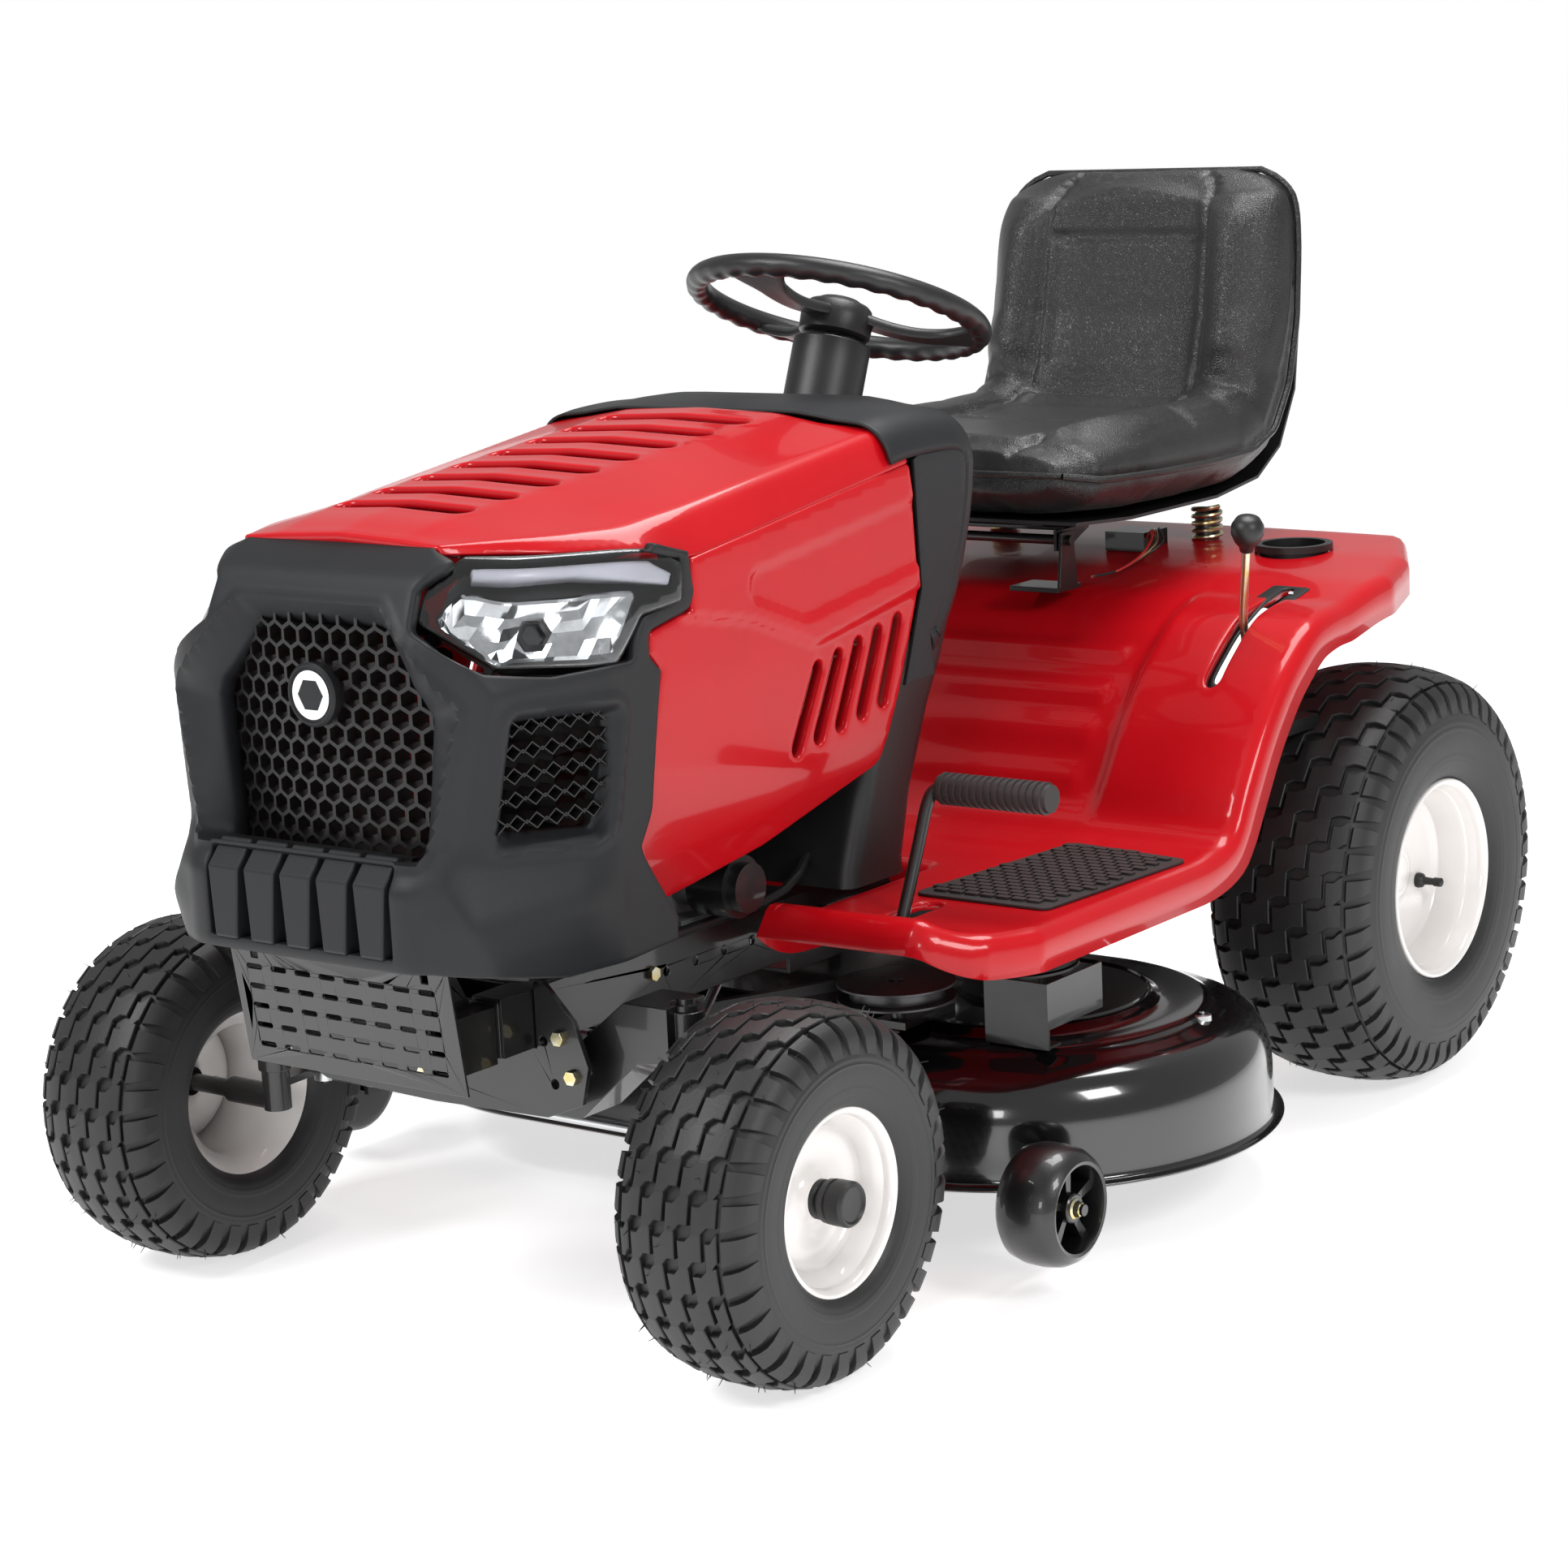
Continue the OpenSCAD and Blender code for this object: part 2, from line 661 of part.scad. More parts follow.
module drag_link() {
    color("#8d9093") place() {
        direction = unit(drag_back - drag_front);
        rod(drag_front + 11 * direction, drag_back - 13 * direction, 5.5);
        difference() {
            bar_z(12, drag_front[2] - 5, drag_front[2] + 5, drag_front[0], drag_front[1]);
            bar_z(link_pin_r + gap, drag_front[2] - 10, drag_front[2] + 10, drag_front[0], drag_front[1]);
        }
        // eye with a slot, which takes up the sideways travel between the two arms
        translate([0, 0, drag_back[2] - 5]) linear_extrude(10) difference() {
            slot_outline(14);
            slot_outline(link_pin_r + 1.5);
        }
    }
}

// Puts its children on the raked column, with +Z up along the column from the wheel's centre
module on_column(distance) {
    translate([0, steering_wheel_y, steering_wheel_z]) rotate([-column_rake, 0, 0])
        translate([0, 0, -distance]) children();
}

column_r = 9.5;

module steering_shaft() {
    color("#8d9093") place() {
        on_column(column_foot - 10) cylinder(r = column_r, h = column_foot - 24);
        on_column(column_foot - 8) cylinder(r = 12, h = 22);
    }
}

grip_r = 13;
spoke_w = 26;

module steering_wheel() {
    wheel_r = steering_wheel_d / 2 - grip_r;
    color("#1a1b1d") place() on_column(0) {
        rotate_extrude($fn = 96) translate([wheel_r, 0]) circle(r = grip_r, $fn = 32);
        difference() {
            translate([0, 0, -34]) cylinder(r = 40, h = 40);
            translate([0, 0, -36]) cylinder(r = column_r, h = 22);
        }
        for (a = [30, 150, 270]) rotate([0, 0, a])
            block([30, -spoke_w / 2, -20], [wheel_r - 4, spoke_w / 2, -8]);
        for (a = [30, 150, 270]) rotate([0, 0, a])
            block([wheel_r - 26, -spoke_w / 2, -20], [wheel_r + 2, spoke_w / 2, 2]);
    }
}

module column_cover() {
    color("#151617") place() on_column(118) difference() {
        cylinder(r = 44, h = 78);
        translate([0, 0, 3]) cylinder(r = 40, h = 80);
        translate([0, 0, -2]) cylinder(r = column_r + 1, h = 10);
    }
}

// ---- hood, bezel and lamps ---------------------------------------------------------------

half_hood = hood_w / 2;
hood_rear_y = 433;
// Section of the hood at its rear edge, right half, as [x, z]
hood_section = [[half_hood - 8, 430], [half_hood - 2, 520], [half_hood, 660], [half_hood - 2, 780],
                [half_hood - 18, 824], [150, 872], [130, 881], [0, 885]];
hood_pitch = 4.5;
hood_side = [[46, 433], [309, 483], [416, 517], [489, 712], [480, 825], [hood_rear_y, 900], [-112, 900],
             [-112, 800], [51, 800], [109, 776], [91, 717], [45, 706], [31, 677], [7, 513]];
louvre_count = 8;
vent_count = 5;

function full_section(p) = concat(p, [for (i = [len(p) - 2 : -1 : 0]) [-p[i][0], p[i][1]]]);

module hood_skin(section) {
    translate([0, hood_rear_y, section[len(section) - 1][1]]) rotate([hood_pitch, 0, 0])
        translate([0, -hood_rear_y, -section[len(section) - 1][1]])
            front_plate(ribbon(full_section(section), hood_t), -300, 900);
}

module hood() {
    color("#c1121f") place() difference() {
        intersection() {
            hood_skin(hood_section);
            side_plate(hood_side, -300, 600);
        }
        for (i = [0 : louvre_count - 1])
            block([-92, -46 + 58 * i, 780], [92, -30 + 58 * i, 960]);
        both_sides() for (i = [0 : vent_count - 1])
            translate([200, 300 + 38 * i, 560 + 4 * i]) rotate([-26, 0, 0])
                block([0, -5, 0], [100, 5, 90]);
    }
}

bezel_t = 4;
bezel_front = -206;
lamp_low = 706;
lamp_x = 126;
// Plan view of the bezel's wall, right half, as [x, y]; side views as [y, z]
bezel_plan = [[half_hood, 46], [half_hood, -60], [206, -150], [150, -196], [0, bezel_front]];
bezel_wall = [[46, 433], [7, 513], [31, 677], [45, lamp_low], [bezel_front - 2, lamp_low],
              [bezel_front - 2, 425], [-120, 402], [-20, 408]];
bezel_brow = [[bezel_front, lamp_low - 20], [-190, 752], [-136, 818], [-113, 822]];
bezel_chin = [[bezel_front, 560], [machine_front, 505], [machine_front, 425]];
grille_hole = [[0, 540], [133, 540], [150, 662], [80, 751], [0, 751]];

module front_bezel() {
    color("#3c3f42") place() {
        difference() {
            union() {
                intersection() {
                    translate([0, 0, 300]) linear_extrude(600)
                        polygon(ribbon(full_section(bezel_plan), bezel_t));
                    side_plate(bezel_wall, -300, 600);
                }
                side_plate(ribbon(bezel_brow, -bezel_t), -lamp_x, 2 * lamp_x);
                side_plate(ribbon(bezel_chin, bezel_t), -170, 340);
                both_sides() {
                    side_plate([bezel_brow[0], bezel_brow[1], bezel_brow[2], bezel_brow[3], [-113, lamp_low],
                                [-113, lamp_low - 20]], lamp_x - bezel_t, bezel_t);
                    side_plate([bezel_chin[0], bezel_chin[1], bezel_chin[2], [bezel_front + bezel_t, 425],
                                [bezel_front + bezel_t, 560]], 166, bezel_t);
                    // shelf below the headlamp
                    block([lamp_x, -140, lamp_low - bezel_t], [206, -40, lamp_low]);
                }
            }
            front_plate(mirrored(grille_hole), -300, 240);
            both_sides() block([150, -112, 560], [300, -42, 640]);
        }
        // hinge arms and pins at the foot of the hood
        both_sides() {
            side_plate([[hinge_y - 10, hinge_z - 10], [hinge_y + 30, hinge_z - 10], [hinge_y + 60, 450],
                        [hinge_y - 10, 450]], hinge_arm_x, 4);
            bar_x(hinge_r, 96, 114, hinge_y, hinge_z);
            block([112, hinge_y, 444], [216, hinge_y + 50, 448]);
        }
    }
}

hex_r = 13;

module grille() {
    color("#111213") place() difference() {
        front_plate(mirrored([[0, 532], [140, 532], [160, 662], [148, 682], [118, 688], [88, 760], [0, 760]]), -178, 4);
        for (row = [0 : 9], column = [-5 : 5])
            translate([column * 25 + (row % 2) * 12.5, -190, 546 + row * 21.6])
                rotate([-90, 30, 0]) cylinder(r = hex_r - 1, h = 30, $fn = 6);
    }
}

lamp_plan = [[lamp_x + gap, -112], [lamp_x + gap, -138], [152, -146], [half_hood - 6, -58], [half_hood - 3, 36],
             [160, 36], [160, -60]];

module headlamps() {
    color("#dfe6ea", 0.6) place() both_sides() translate([0, 0, lamp_low + gap]) linear_extrude(80)
        polygon(lamp_plan);
}

// ---- dash and pedestal -------------------------------------------------------------------

dash_back = [[500, 884], [560, 886], [612, 866], [634, 820], [622, 744], [590, 664], [540, 600],
             [506, 540], [480, 470]];
dash_side = concat([[494, 826], [503, 712], [456, 560], [430, 500], [452, 470]], reversed(dash_back));

module dash_panel() {
    section = [for (q = hood_section) [q[0] - 1, q[1] + 4]];
    color("#34373a") place() difference() {
        union() {
            intersection() {
                front_plate(ribbon(full_section(section), hood_t), 300, 400);
                side_plate(concat(dash_side, [[444, 892], [450, 880]]), -300, 600);
            }
            intersection() {
                front_plate(full_section(section), 300, 400);
                side_plate(ribbon(dash_back, -hood_t), -300, 600);
            }
        }
        on_column(200) cylinder(r = 46, h = 140);
        on_column(column_foot) cylinder(r = column_r + 4, h = column_foot - 60);
        // slot for the throttle lever and hole for the ignition lock
        block([throttle_x - 4, 570, 700], [throttle_x + 4, 700, 880]);
        translate([-throttle_x, 600, 770]) rotate([-60, 0, 0]) cylinder(r = 11 + gap, h = 100, center = true);
    }
}

module dash_pedestal() {
    color("#141516") place() {
        both_sides() side_plate([[404, floor_z + gap], [470, floor_z + gap], [476, 464], [449, 466], [428, 494],
                                 [462, 590], [420, 560]], 176, 4);
        difference() {
            block([-176, 440, floor_z + gap], [176, 444, 560]);
            on_column(700) cylinder(r = 24, h = 700);
        }
        difference() {
            block([-176, 400, floor_z + 4], [176, 506, floor_z + 8]);
            on_column(760) cylinder(r = 22, h = 760);
            bar_z(22, 300, 500, 0, pinion_y);
        }
    }
}

throttle_x = 165;
throttle_pivot = [throttle_x, 590, 800];

module throttle_lever() {
    color("#1a1b1d") place() {
        side_plate([[582, 796], [598, 790], [646, 816], [642, 826], [596, 806]], throttle_x - 2, 4);
        bar_x(9, throttle_x - 7, throttle_x + 7, 647, 822);
        bar_x(5, throttle_x - 12, throttle_x + 12, throttle_pivot[1], throttle_pivot[2]);
    }
}

module ignition_key() {
    color("#26282b") place() translate([-throttle_x, 600, 770]) rotate([-60, 0, 0]) {
        translate([0, 0, 8]) cylinder(r = 11, h = 40);
        translate([0, 0, 48]) cylinder(r = 14, h = 5);
        block([-11, -2, 53], [11, 2, 72]);
    }
}

// ---- fender ------------------------------------------------------------------------------

// Side view of the fender's top face as [y, z], from the nose of the foot board to the rear edge
fender_line = [[258, floor_z + 36], [288, floor_z + 4], [330, floor_z], [690, floor_z], [735, floor_z + 8],
               [775, floor_z + 34], [828, 488], [875, 540], [930, 580], [996, 606], [1080, 622], [1200, 634],
               [1330, 638], [1400, 622], [1450, 585], [machine_back, 540]];
// Plan view of the fender's edge, left half, as [x, y], from the nose to the middle of the back
fender_plan = [[200, 258], [385, 258], [440, 300], [half_fender, 356], [half_fender, 1120],
               [half_fender - 25, 1210], [half_fender - 80, 1310], [half_fender - 125, 1390],
               [half_fender - 155, 1445], [half_fender - 175, 1465], [0, machine_back]];
shift_slot_x = 374;

module fender() {
    color("#c1121f") place() difference() {
        union() {
            intersection() {
                side_plate(ribbon(fender_line, -fender_t), -half_fender, fender_w);
                translate([0, 0, 200]) linear_extrude(600)
                    polygon(concat(fender_plan, reversed([for (q = fender_plan) [-q[0], q[1]]])));
            }
            both_sides() intersection() {
                translate([0, 0, 200]) linear_extrude(600) polygon(ribbon(fender_plan, fender_t));
                side_plate(concat(fender_line, reversed(lowered(fender_line, lip_h))), 0, half_fender + 10);
            }
        }
        // opening round the pedestal
        block([-190, 200, 300], [190, 545, 600]);
        // openings for the levers, the pedal, the cup and the seat
        block([shift_slot_x - 9, 860, 480], [shift_slot_x + 9, 1050, 700]);
        block([-396, 790, 400], [-374, 1010, 700]);
        block([284, 200, 330], [318, 408, 600]);
        bar_z(cup_d / 2 + 3 + gap, 560, 700, cup_pos[0], cup_pos[1]);
        bar_z(7, 560, 700, 150, 1234);
        bar_z(7, 560, 700, -150, 1234);
    }
}

module foot_pads() {
    color("#1c1414") place() both_sides() difference() {
        block([330, 430, floor_z], [440, 676, floor_z + 4]);
        for (row = [0 : 7]) block([336, 440 + row * 29, floor_z + 2], [434, 444 + row * 29, floor_z + 6]);
    }
}

module cup_holder() {
    color("#1b1c1e") place() translate([cup_pos[0], cup_pos[1], 0]) difference() {
        union() {
            translate([0, 0, 570]) cylinder(r = cup_d / 2 + 3, h = 74);
            translate([0, 0, 638]) cylinder(r = cup_d / 2 + 9, h = 8);
        }
        translate([0, 0, 573]) cylinder(r = cup_d / 2, h = 90);
    }
}

spring_r = 15;

module seat_supports() {
    color("#1b1c1e") place() {
        both_sides() {
            difference() {
                side_plate([[930, 622], [970, 622], [962, seat_pivot[1] + 10], [938, seat_pivot[1] + 10]], 124, 4);
                bar_x(6 + running, 100, 150, seat_pivot[0], seat_pivot[1]);
            }
            block([60, 925, 616], [128, 976, 622]);
            translate([150, 1234, 637]) difference() {
                cylinder(r = spring_r, h = 36);
                translate([0, 0, -1]) cylinder(r = spring_r - 4, h = 40);
            }
        }
        block([60, 1140, 634.5], [116, 1196, 658]);
    }
}

// ---- seat --------------------------------------------------------------------------------

module seat_bracket() {
    color("#1b1c1e") place() {
        difference() {
            block([-112, 968, 684], [112, 1290, 688]);
            block([-60, 1040, 680], [60, 1220, 692]);
        }
        both_sides() difference() {
            side_plate([[938, 664], [962, 664], [1010, 684], [1010, 688], [960, 688], [938, 688]], 116, 4);
            bar_x(6 + running, 100, 150, seat_pivot[0], seat_pivot[1]);
        }
        bar_x(6, -134, 134, seat_pivot[0], seat_pivot[1]);
        both_sides() block([111, 985, 684], [117, 1010, 688]);
    }
}

seat_pan_line = [[880, 708], [1000, 700], [1200, 700], [1300, 712], [1356, 744], [1396, 810],
                 [1410, 900]];

module seat_pan() {
    color("#202123") place() {
        side_plate(ribbon(seat_pan_line, -4), -seat_w / 2 + 40, seat_w - 80);
        both_sides() block([60, 1000, 688 + gap], [110, 1260, 697]);
    }
}

cushion_line = [[852, 742], [842, 776], [858, 802], [900, 812], [1000, 802], [1230, 800], [1282, 846],
                [1300, 960], [1316, 1050], [1336, seat_top_z - 6], [1362, seat_top_z], [1398, seat_top_z - 10],
                [1415, 1050], [1409, 940], [1391, 812], [1350, 750], [1298, 716], [1200, 704], [1000, 704], [880, 712]];

cushion_hollow = [[920, 690], [920, 756], [1010, 752], [1246, 752], [1322, 820], [1352, 1036],
                  [1400, 1036], [1394, 940], [1374, 830], [1340, 768], [1298, 734], [1260, 690]];

module seat_cushion() {
    color("#232325") place() difference() {
        side_plate(cushion_line, -seat_w / 2, seat_w);
        // hollow over the pan, under the foam
        side_plate(cushion_hollow, -seat_w / 2 + 46, seat_w - 92);
        both_sides() {
            translate([seat_w / 2 - 60, 0, seat_top_z - 60]) rotate([-90, 0, 0]) difference() {
                translate([0, -61, 1200]) cube([62, 61, 300]);
                translate([0, 0, 1190]) cylinder(r = 60, h = 320);
            }
            translate([seat_w / 2 - 60, 902, 0]) difference() {
                translate([0, -61, 600]) cube([62, 61, 240]);
                translate([0, 0, 590]) cylinder(r = 60, h = 260);
            }
        }
    }
}

// ---- levers and pedal --------------------------------------------------------------------

module shift_lever() {
    color("#b9bcc0") place() {
        bar_x(9, shift_pivot[0] - 20, shift_pivot[0] + 20, shift_pivot[1], shift_pivot[2]);
        rod([shift_pivot[0] + 6, shift_pivot[1], shift_pivot[2]], shift_kink, 5);
        translate(shift_kink) sphere(r = 6.5);
        rod(shift_kink, shift_knob, 5);
        translate(shift_knob) sphere(r = 19);
    }
}

lift_lever_x = -385;

module lift_lever() {
    color("#26282b") place() {
        bar_x(lift_shaft_r, lift_lever_x - 8, rail_x + 24, lift_shaft_y, lift_shaft_z);
        rod([lift_lever_x, lift_shaft_y, lift_shaft_z], [lift_lever_x, 905, 640], 7);
        rod([lift_lever_x, 905, 640], [lift_lever_x, 900, 740], 14);
        both_sides() side_plate([[lift_shaft_y - lift_arm - 10, lift_shaft_z - 10], [lift_shaft_y + 14, lift_shaft_z - 14],
                                 [lift_shaft_y + 14, lift_shaft_z + 14], [lift_shaft_y - lift_arm - 10, lift_shaft_z + 8]],
                                rail_x + 10, 6);
    }
}

module brake_pedal() {
    color("#17181a") place() {
        bar_x(pedal_r, rail_x + 4, 308, pedal_y, pedal_z);
        rod([301, pedal_y, pedal_z], [301, 403, 496], 7);
        bar_x(10, 289, 330, 403, 496);
        bar_x(17, 312, 446, 410, 497);
    }
}

// ---- cutting deck ------------------------------------------------------------------------

// Section of the deck's top and wall, from the inner edge out to the rolled rim, as [radius, z]
deck_line = [[0, pad_z], [150, pad_z], [160, deck_top_z + 8], [222, deck_top_z + 4], [deck_r - 20, deck_top_z - 8],
             [deck_r - 4, deck_top_z - 34], [deck_r, deck_top_z - 60], [deck_r, deck_rim_z + 4],
             [deck_r + rim_flange, deck_rim_z + 4]];
spindle_hole_r = 34;
chute_top_z = deck_rim_z + 92;

module deck_end() {
    rotate_extrude(angle = 180, $fn = 96) polygon(ribbon(deck_line, -deck_t));
}

module deck_shell() {
    color("#131415") place() difference() {
        union() {
            translate([deck_x, deck_y, 0]) rotate([0, 0, -90]) deck_end();
            translate([-deck_x, deck_y, 0]) rotate([0, 0, 90]) deck_end();
            translate([0, deck_y, 0]) for (s = [0, 1]) mirror([0, s, 0])
                side_plate(ribbon(deck_line, -deck_t), -deck_x, 2 * deck_x);
            // lid over the discharge opening, which carries the deflector's hinge
            block([-deflector_x + 8, deck_y - chute_w / 2 - 8, chute_top_z],
                  [-deck_x - deck_r + 60, deck_y + chute_w / 2 + 8, chute_top_z + deck_t]);
        }
        for (s = [-1, 1]) bar_z(spindle_hole_r, pad_z - 40, pad_z + 20, s * deck_x, deck_y);
        block([-deck_x - deck_r - 60, deck_y - chute_w / 2, deck_rim_z - 10],
              [-deck_x - deck_r + 90, deck_y + chute_w / 2, chute_top_z]);
    }
}

module spindle_housing(x) {
    difference() {
        union() {
            bar_z(spindle_hole_r - gap, pad_z - 24, pad_z, x, deck_y);
            bar_z(62, pad_z, pad_z + 6, x, deck_y);
            bar_z(28, pad_z, belt_z - 12, x, deck_y);
        }
        bar_z(spindle_r + running, pad_z - 40, belt_z, x, deck_y);
    }
}

guard_x = 325;
gauge_arm_x = 444;
gauge_arm_y = deck_y - sqrt(deck_r * deck_r - (gauge_arm_x - deck_x) * (gauge_arm_x - deck_x));
hanger_y = lift_shaft_y - lift_arm;

module deck_fittings() {
    color("#1b1c1e") place() {
        for (s = [-1, 1]) spindle_housing(s * deck_x);
        // belt guard beside the left pulley
        block([guard_x, 452, deck_top_z + 8], [guard_x + 80, 455, deck_top_z + 80]);
        block([guard_x + 77, 455, deck_top_z + 30], [guard_x + 80, 560, deck_top_z + 80]);
        block([guard_x, 455, deck_top_z + 9], [guard_x + 80, 476, deck_top_z + 12]);
        // hangers that the lift arms hold
        both_sides() {
            block([rail_x + 19, hanger_y - 12, deck_top_z + 6], [rail_x + 23, hanger_y + 12, lift_shaft_z + 10]);
            // brackets and bolts of the gauge wheels
            block([gauge_arm_x, gauge_y - 12, gauge_z + 4], [gauge_arm_x + 6, gauge_arm_y, gauge_z + 18]);
            bar_x(6, gauge_arm_x, 534, gauge_y, gauge_z);
            block([gauge_arm_x, gauge_y - 12, gauge_z - 12], [gauge_arm_x + 6, gauge_y + 12, gauge_z + 18]);
        }
        // idler bracket and its pin
        block([idler[0] - 20, idler[1] - 15, pad_z], [idler[0] + 20, idler[1] + 80, pad_z + 8]);
        bar_z(8, pad_z, belt_z + 12, idler[0], idler[1]);
    }
}

gauge_y = 312;
gauge_z = 100;

module gauge_wheel(side) {
    color("#18191a") place() mirror([side > 0 ? 0 : 1, 0, 0]) difference() {
        bar_x(gauge_wheel_d / 2, 460, 530, gauge_y, gauge_z);
        bar_x(6 + running, 450, 540, gauge_y, gauge_z);
        bar_x(gauge_wheel_d / 2 - 12, 512, 540, gauge_y, gauge_z);
    }
}

module blade(side) {
    x = side * deck_x;
    color("#3f4246") place() difference() {
        union() {
            block([x - blade_l / 2, deck_y - 30, deck_rim_z + 12], [x + blade_l / 2, deck_y + 30, deck_rim_z + 17]);
            bar_z(24, deck_rim_z + 4, deck_rim_z + 12, x, deck_y);
        }
        bar_z(spindle_r, deck_rim_z, deck_rim_z + 30, x, deck_y);
    }
}

// A grooved pulley for the belt, centred on the belt's middle height
module pulley(belt_r) {
    groove_r = belt_r - belt_w / 2 - gap;
    for (z = [-belt_h / 2 - 4, belt_h / 2 + 1]) translate([0, 0, z]) cylinder(r = belt_r + 8, h = 3);
    translate([0, 0, -belt_h / 2 - 4]) cylinder(r = groove_r, h = belt_h + 8);
}

module spindle_pulley(side) {
    x = side * deck_x;
    color("#5b5f63") place() {
        translate([x, deck_y, belt_z]) pulley(spindle_pulley_r);
        bar_z(spindle_r, deck_rim_z + 4, belt_z + 20, x, deck_y);
        bar_z(18, deck_rim_z + 17, pad_z - 25, x, deck_y);
    }
}

module idler_pulley() {
    color("#8d9093") place() difference() {
        translate([idler[0], idler[1], belt_z]) pulley(idler_r);
        bar_z(8 + running, deck_top_z, belt_z + 40, idler[0], idler[1]);
    }
}

module engine_pulley() {
    color("#5b5f63") place() {
        translate([crank[0], crank[1], belt_z]) pulley(engine_pulley_r);
        bar_z(crank_r, belt_z, rail_top + 50, crank[0], crank[1]);
    }
}

function heading(a, b) = atan2(b[1] - a[1], b[0] - a[0]);
function outward(a, ra, b, rb) = heading(a, b) - acos((ra - rb) / norm(b - a));
function turned(from, to, way) = way > 0 ? (to < from ? to + 360 : to) : (to > from ? to - 360 : to);
// The belt's line round a ring of pulleys; a pulley that presses from outside has a negative radius
function belt_points(c, r, grow) =
    let (n = len(c))
    [for (i = [0 : n - 1])
     let (before = (i + n - 1) % n, after = (i + 1) % n,
          from = outward(c[before], r[before], c[i], r[i]),
          to = outward(c[i], r[i], c[after], r[after]))
     each arc(c[i], r[i] + grow, from, turned(from, to, r[i]), 12)];

belt_centres = [[deck_x, deck_y], [-deck_x, deck_y], crank, idler];
belt_radii = [spindle_pulley_r, spindle_pulley_r, engine_pulley_r, -idler_r];

module deck_belt() {
    color("#101010") place() translate([0, 0, belt_z - belt_h / 2]) linear_extrude(belt_h) difference() {
        polygon(belt_points(belt_centres, belt_radii, belt_w / 2));
        polygon(belt_points(belt_centres, belt_radii, -belt_w / 2));
    }
}

hinge_pin_r = 4;

module deflector() {
    y0 = deck_y - chute_w / 2 - 4;
    y1 = deck_y + chute_w / 2 + 4;
    color("#18191a") place() translate([-deflector_x, 0, chute_top_z + 1]) {
        bar_y(hinge_pin_r, y0, y1, 0, 0);
        rotate([0, 180 - deflector_slope, 0]) {
            block([0, y0, -2], [deflector_l, y1, 2]);
            for (y = [y0, y1 - 3]) block([20, y, 2], [deflector_l, y + 3, 26]);
        }
    }
}

frame_rails();
frame_crossmembers();
bumper();
frame_bolts();
harness_conduit();
engine_block();
blower_housing();
muffler();
oil_filter();
fuel_tank();
battery();
dash_panel();
dash_pedestal();
column_cover();
fender();
foot_pads();
cup_holder();
seat_supports();
transaxle();
front_axle();
spindle_left();
spindle_right();
tie_rod();
drag_link();
steering_sector();
steering_pinion();
steering_shaft();
steering_wheel();
front_tyre(1);  // front_tyre_left
front_tyre(-1);  // front_tyre_right
front_rim(1);  // front_rim_left
front_rim(-1);  // front_rim_right
rear_tyre(1);  // rear_tyre_left
rear_tyre(-1);  // rear_tyre_right
rear_rim(1);  // rear_rim_left
rear_rim(-1);  // rear_rim_right
hood();
front_bezel();
grille();
headlamps();
seat_bracket();
seat_pan();
seat_cushion();
shift_lever();
lift_lever();
brake_pedal();
throttle_lever();
ignition_key();
deck_shell();
deck_fittings();
gauge_wheel(1);  // gauge_wheel_left
gauge_wheel(-1);  // gauge_wheel_right
blade(1);  // blade_left
blade(-1);  // blade_right
spindle_pulley(1);  // spindle_pulley_left
spindle_pulley(-1);  // spindle_pulley_right
idler_pulley();
engine_pulley();
deck_belt();
deflector();
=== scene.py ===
"""Looks of a front-engine riding lawn mower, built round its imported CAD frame.

All lengths are metres. Sub-assemblies are modelled on the machine's own datum: the ground below the middle of
the front axle, with -Y to the front, +X to the operator's left and +Z up. Shop.place() moves each finished mesh
from that datum into the frame of the CAD model.
"""
import logging
import math
from collections.abc import Callable, Sequence
from dataclasses import dataclass, field
from enum import Enum

import bmesh
import bpy
import numpy as np
from mathutils import Matrix, Vector
from mathutils.geometry import delaunay_2d_cdt


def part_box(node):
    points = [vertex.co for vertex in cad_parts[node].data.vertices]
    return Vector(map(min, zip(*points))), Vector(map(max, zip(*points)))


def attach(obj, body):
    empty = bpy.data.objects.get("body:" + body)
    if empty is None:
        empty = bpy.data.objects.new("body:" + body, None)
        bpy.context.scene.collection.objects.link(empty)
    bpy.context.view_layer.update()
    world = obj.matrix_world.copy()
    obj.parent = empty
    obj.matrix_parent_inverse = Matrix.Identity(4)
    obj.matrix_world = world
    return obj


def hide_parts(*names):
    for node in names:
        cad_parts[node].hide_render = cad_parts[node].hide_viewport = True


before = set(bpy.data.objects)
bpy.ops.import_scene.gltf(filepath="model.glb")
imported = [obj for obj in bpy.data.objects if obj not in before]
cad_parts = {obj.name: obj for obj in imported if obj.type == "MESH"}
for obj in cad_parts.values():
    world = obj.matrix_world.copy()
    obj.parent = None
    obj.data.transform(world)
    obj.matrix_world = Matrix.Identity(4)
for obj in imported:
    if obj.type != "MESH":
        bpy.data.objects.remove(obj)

log = logging.getLogger("mower")
Point = Sequence[float]
Array = np.ndarray
Mesh = tuple[Array, list[tuple[int, ...]]]
TAU = 2 * math.pi


# ---- finishes ------------------------------------------------------------------------------------------------


class Grain(Enum):
    """Fine surface relief of a finish."""

    SMOOTH = "smooth"
    ORANGE_PEEL = "orange_peel"
    PEBBLE = "pebble"
    LEATHER = "leather"
    BRUSHED = "brushed"
    CAST = "cast"


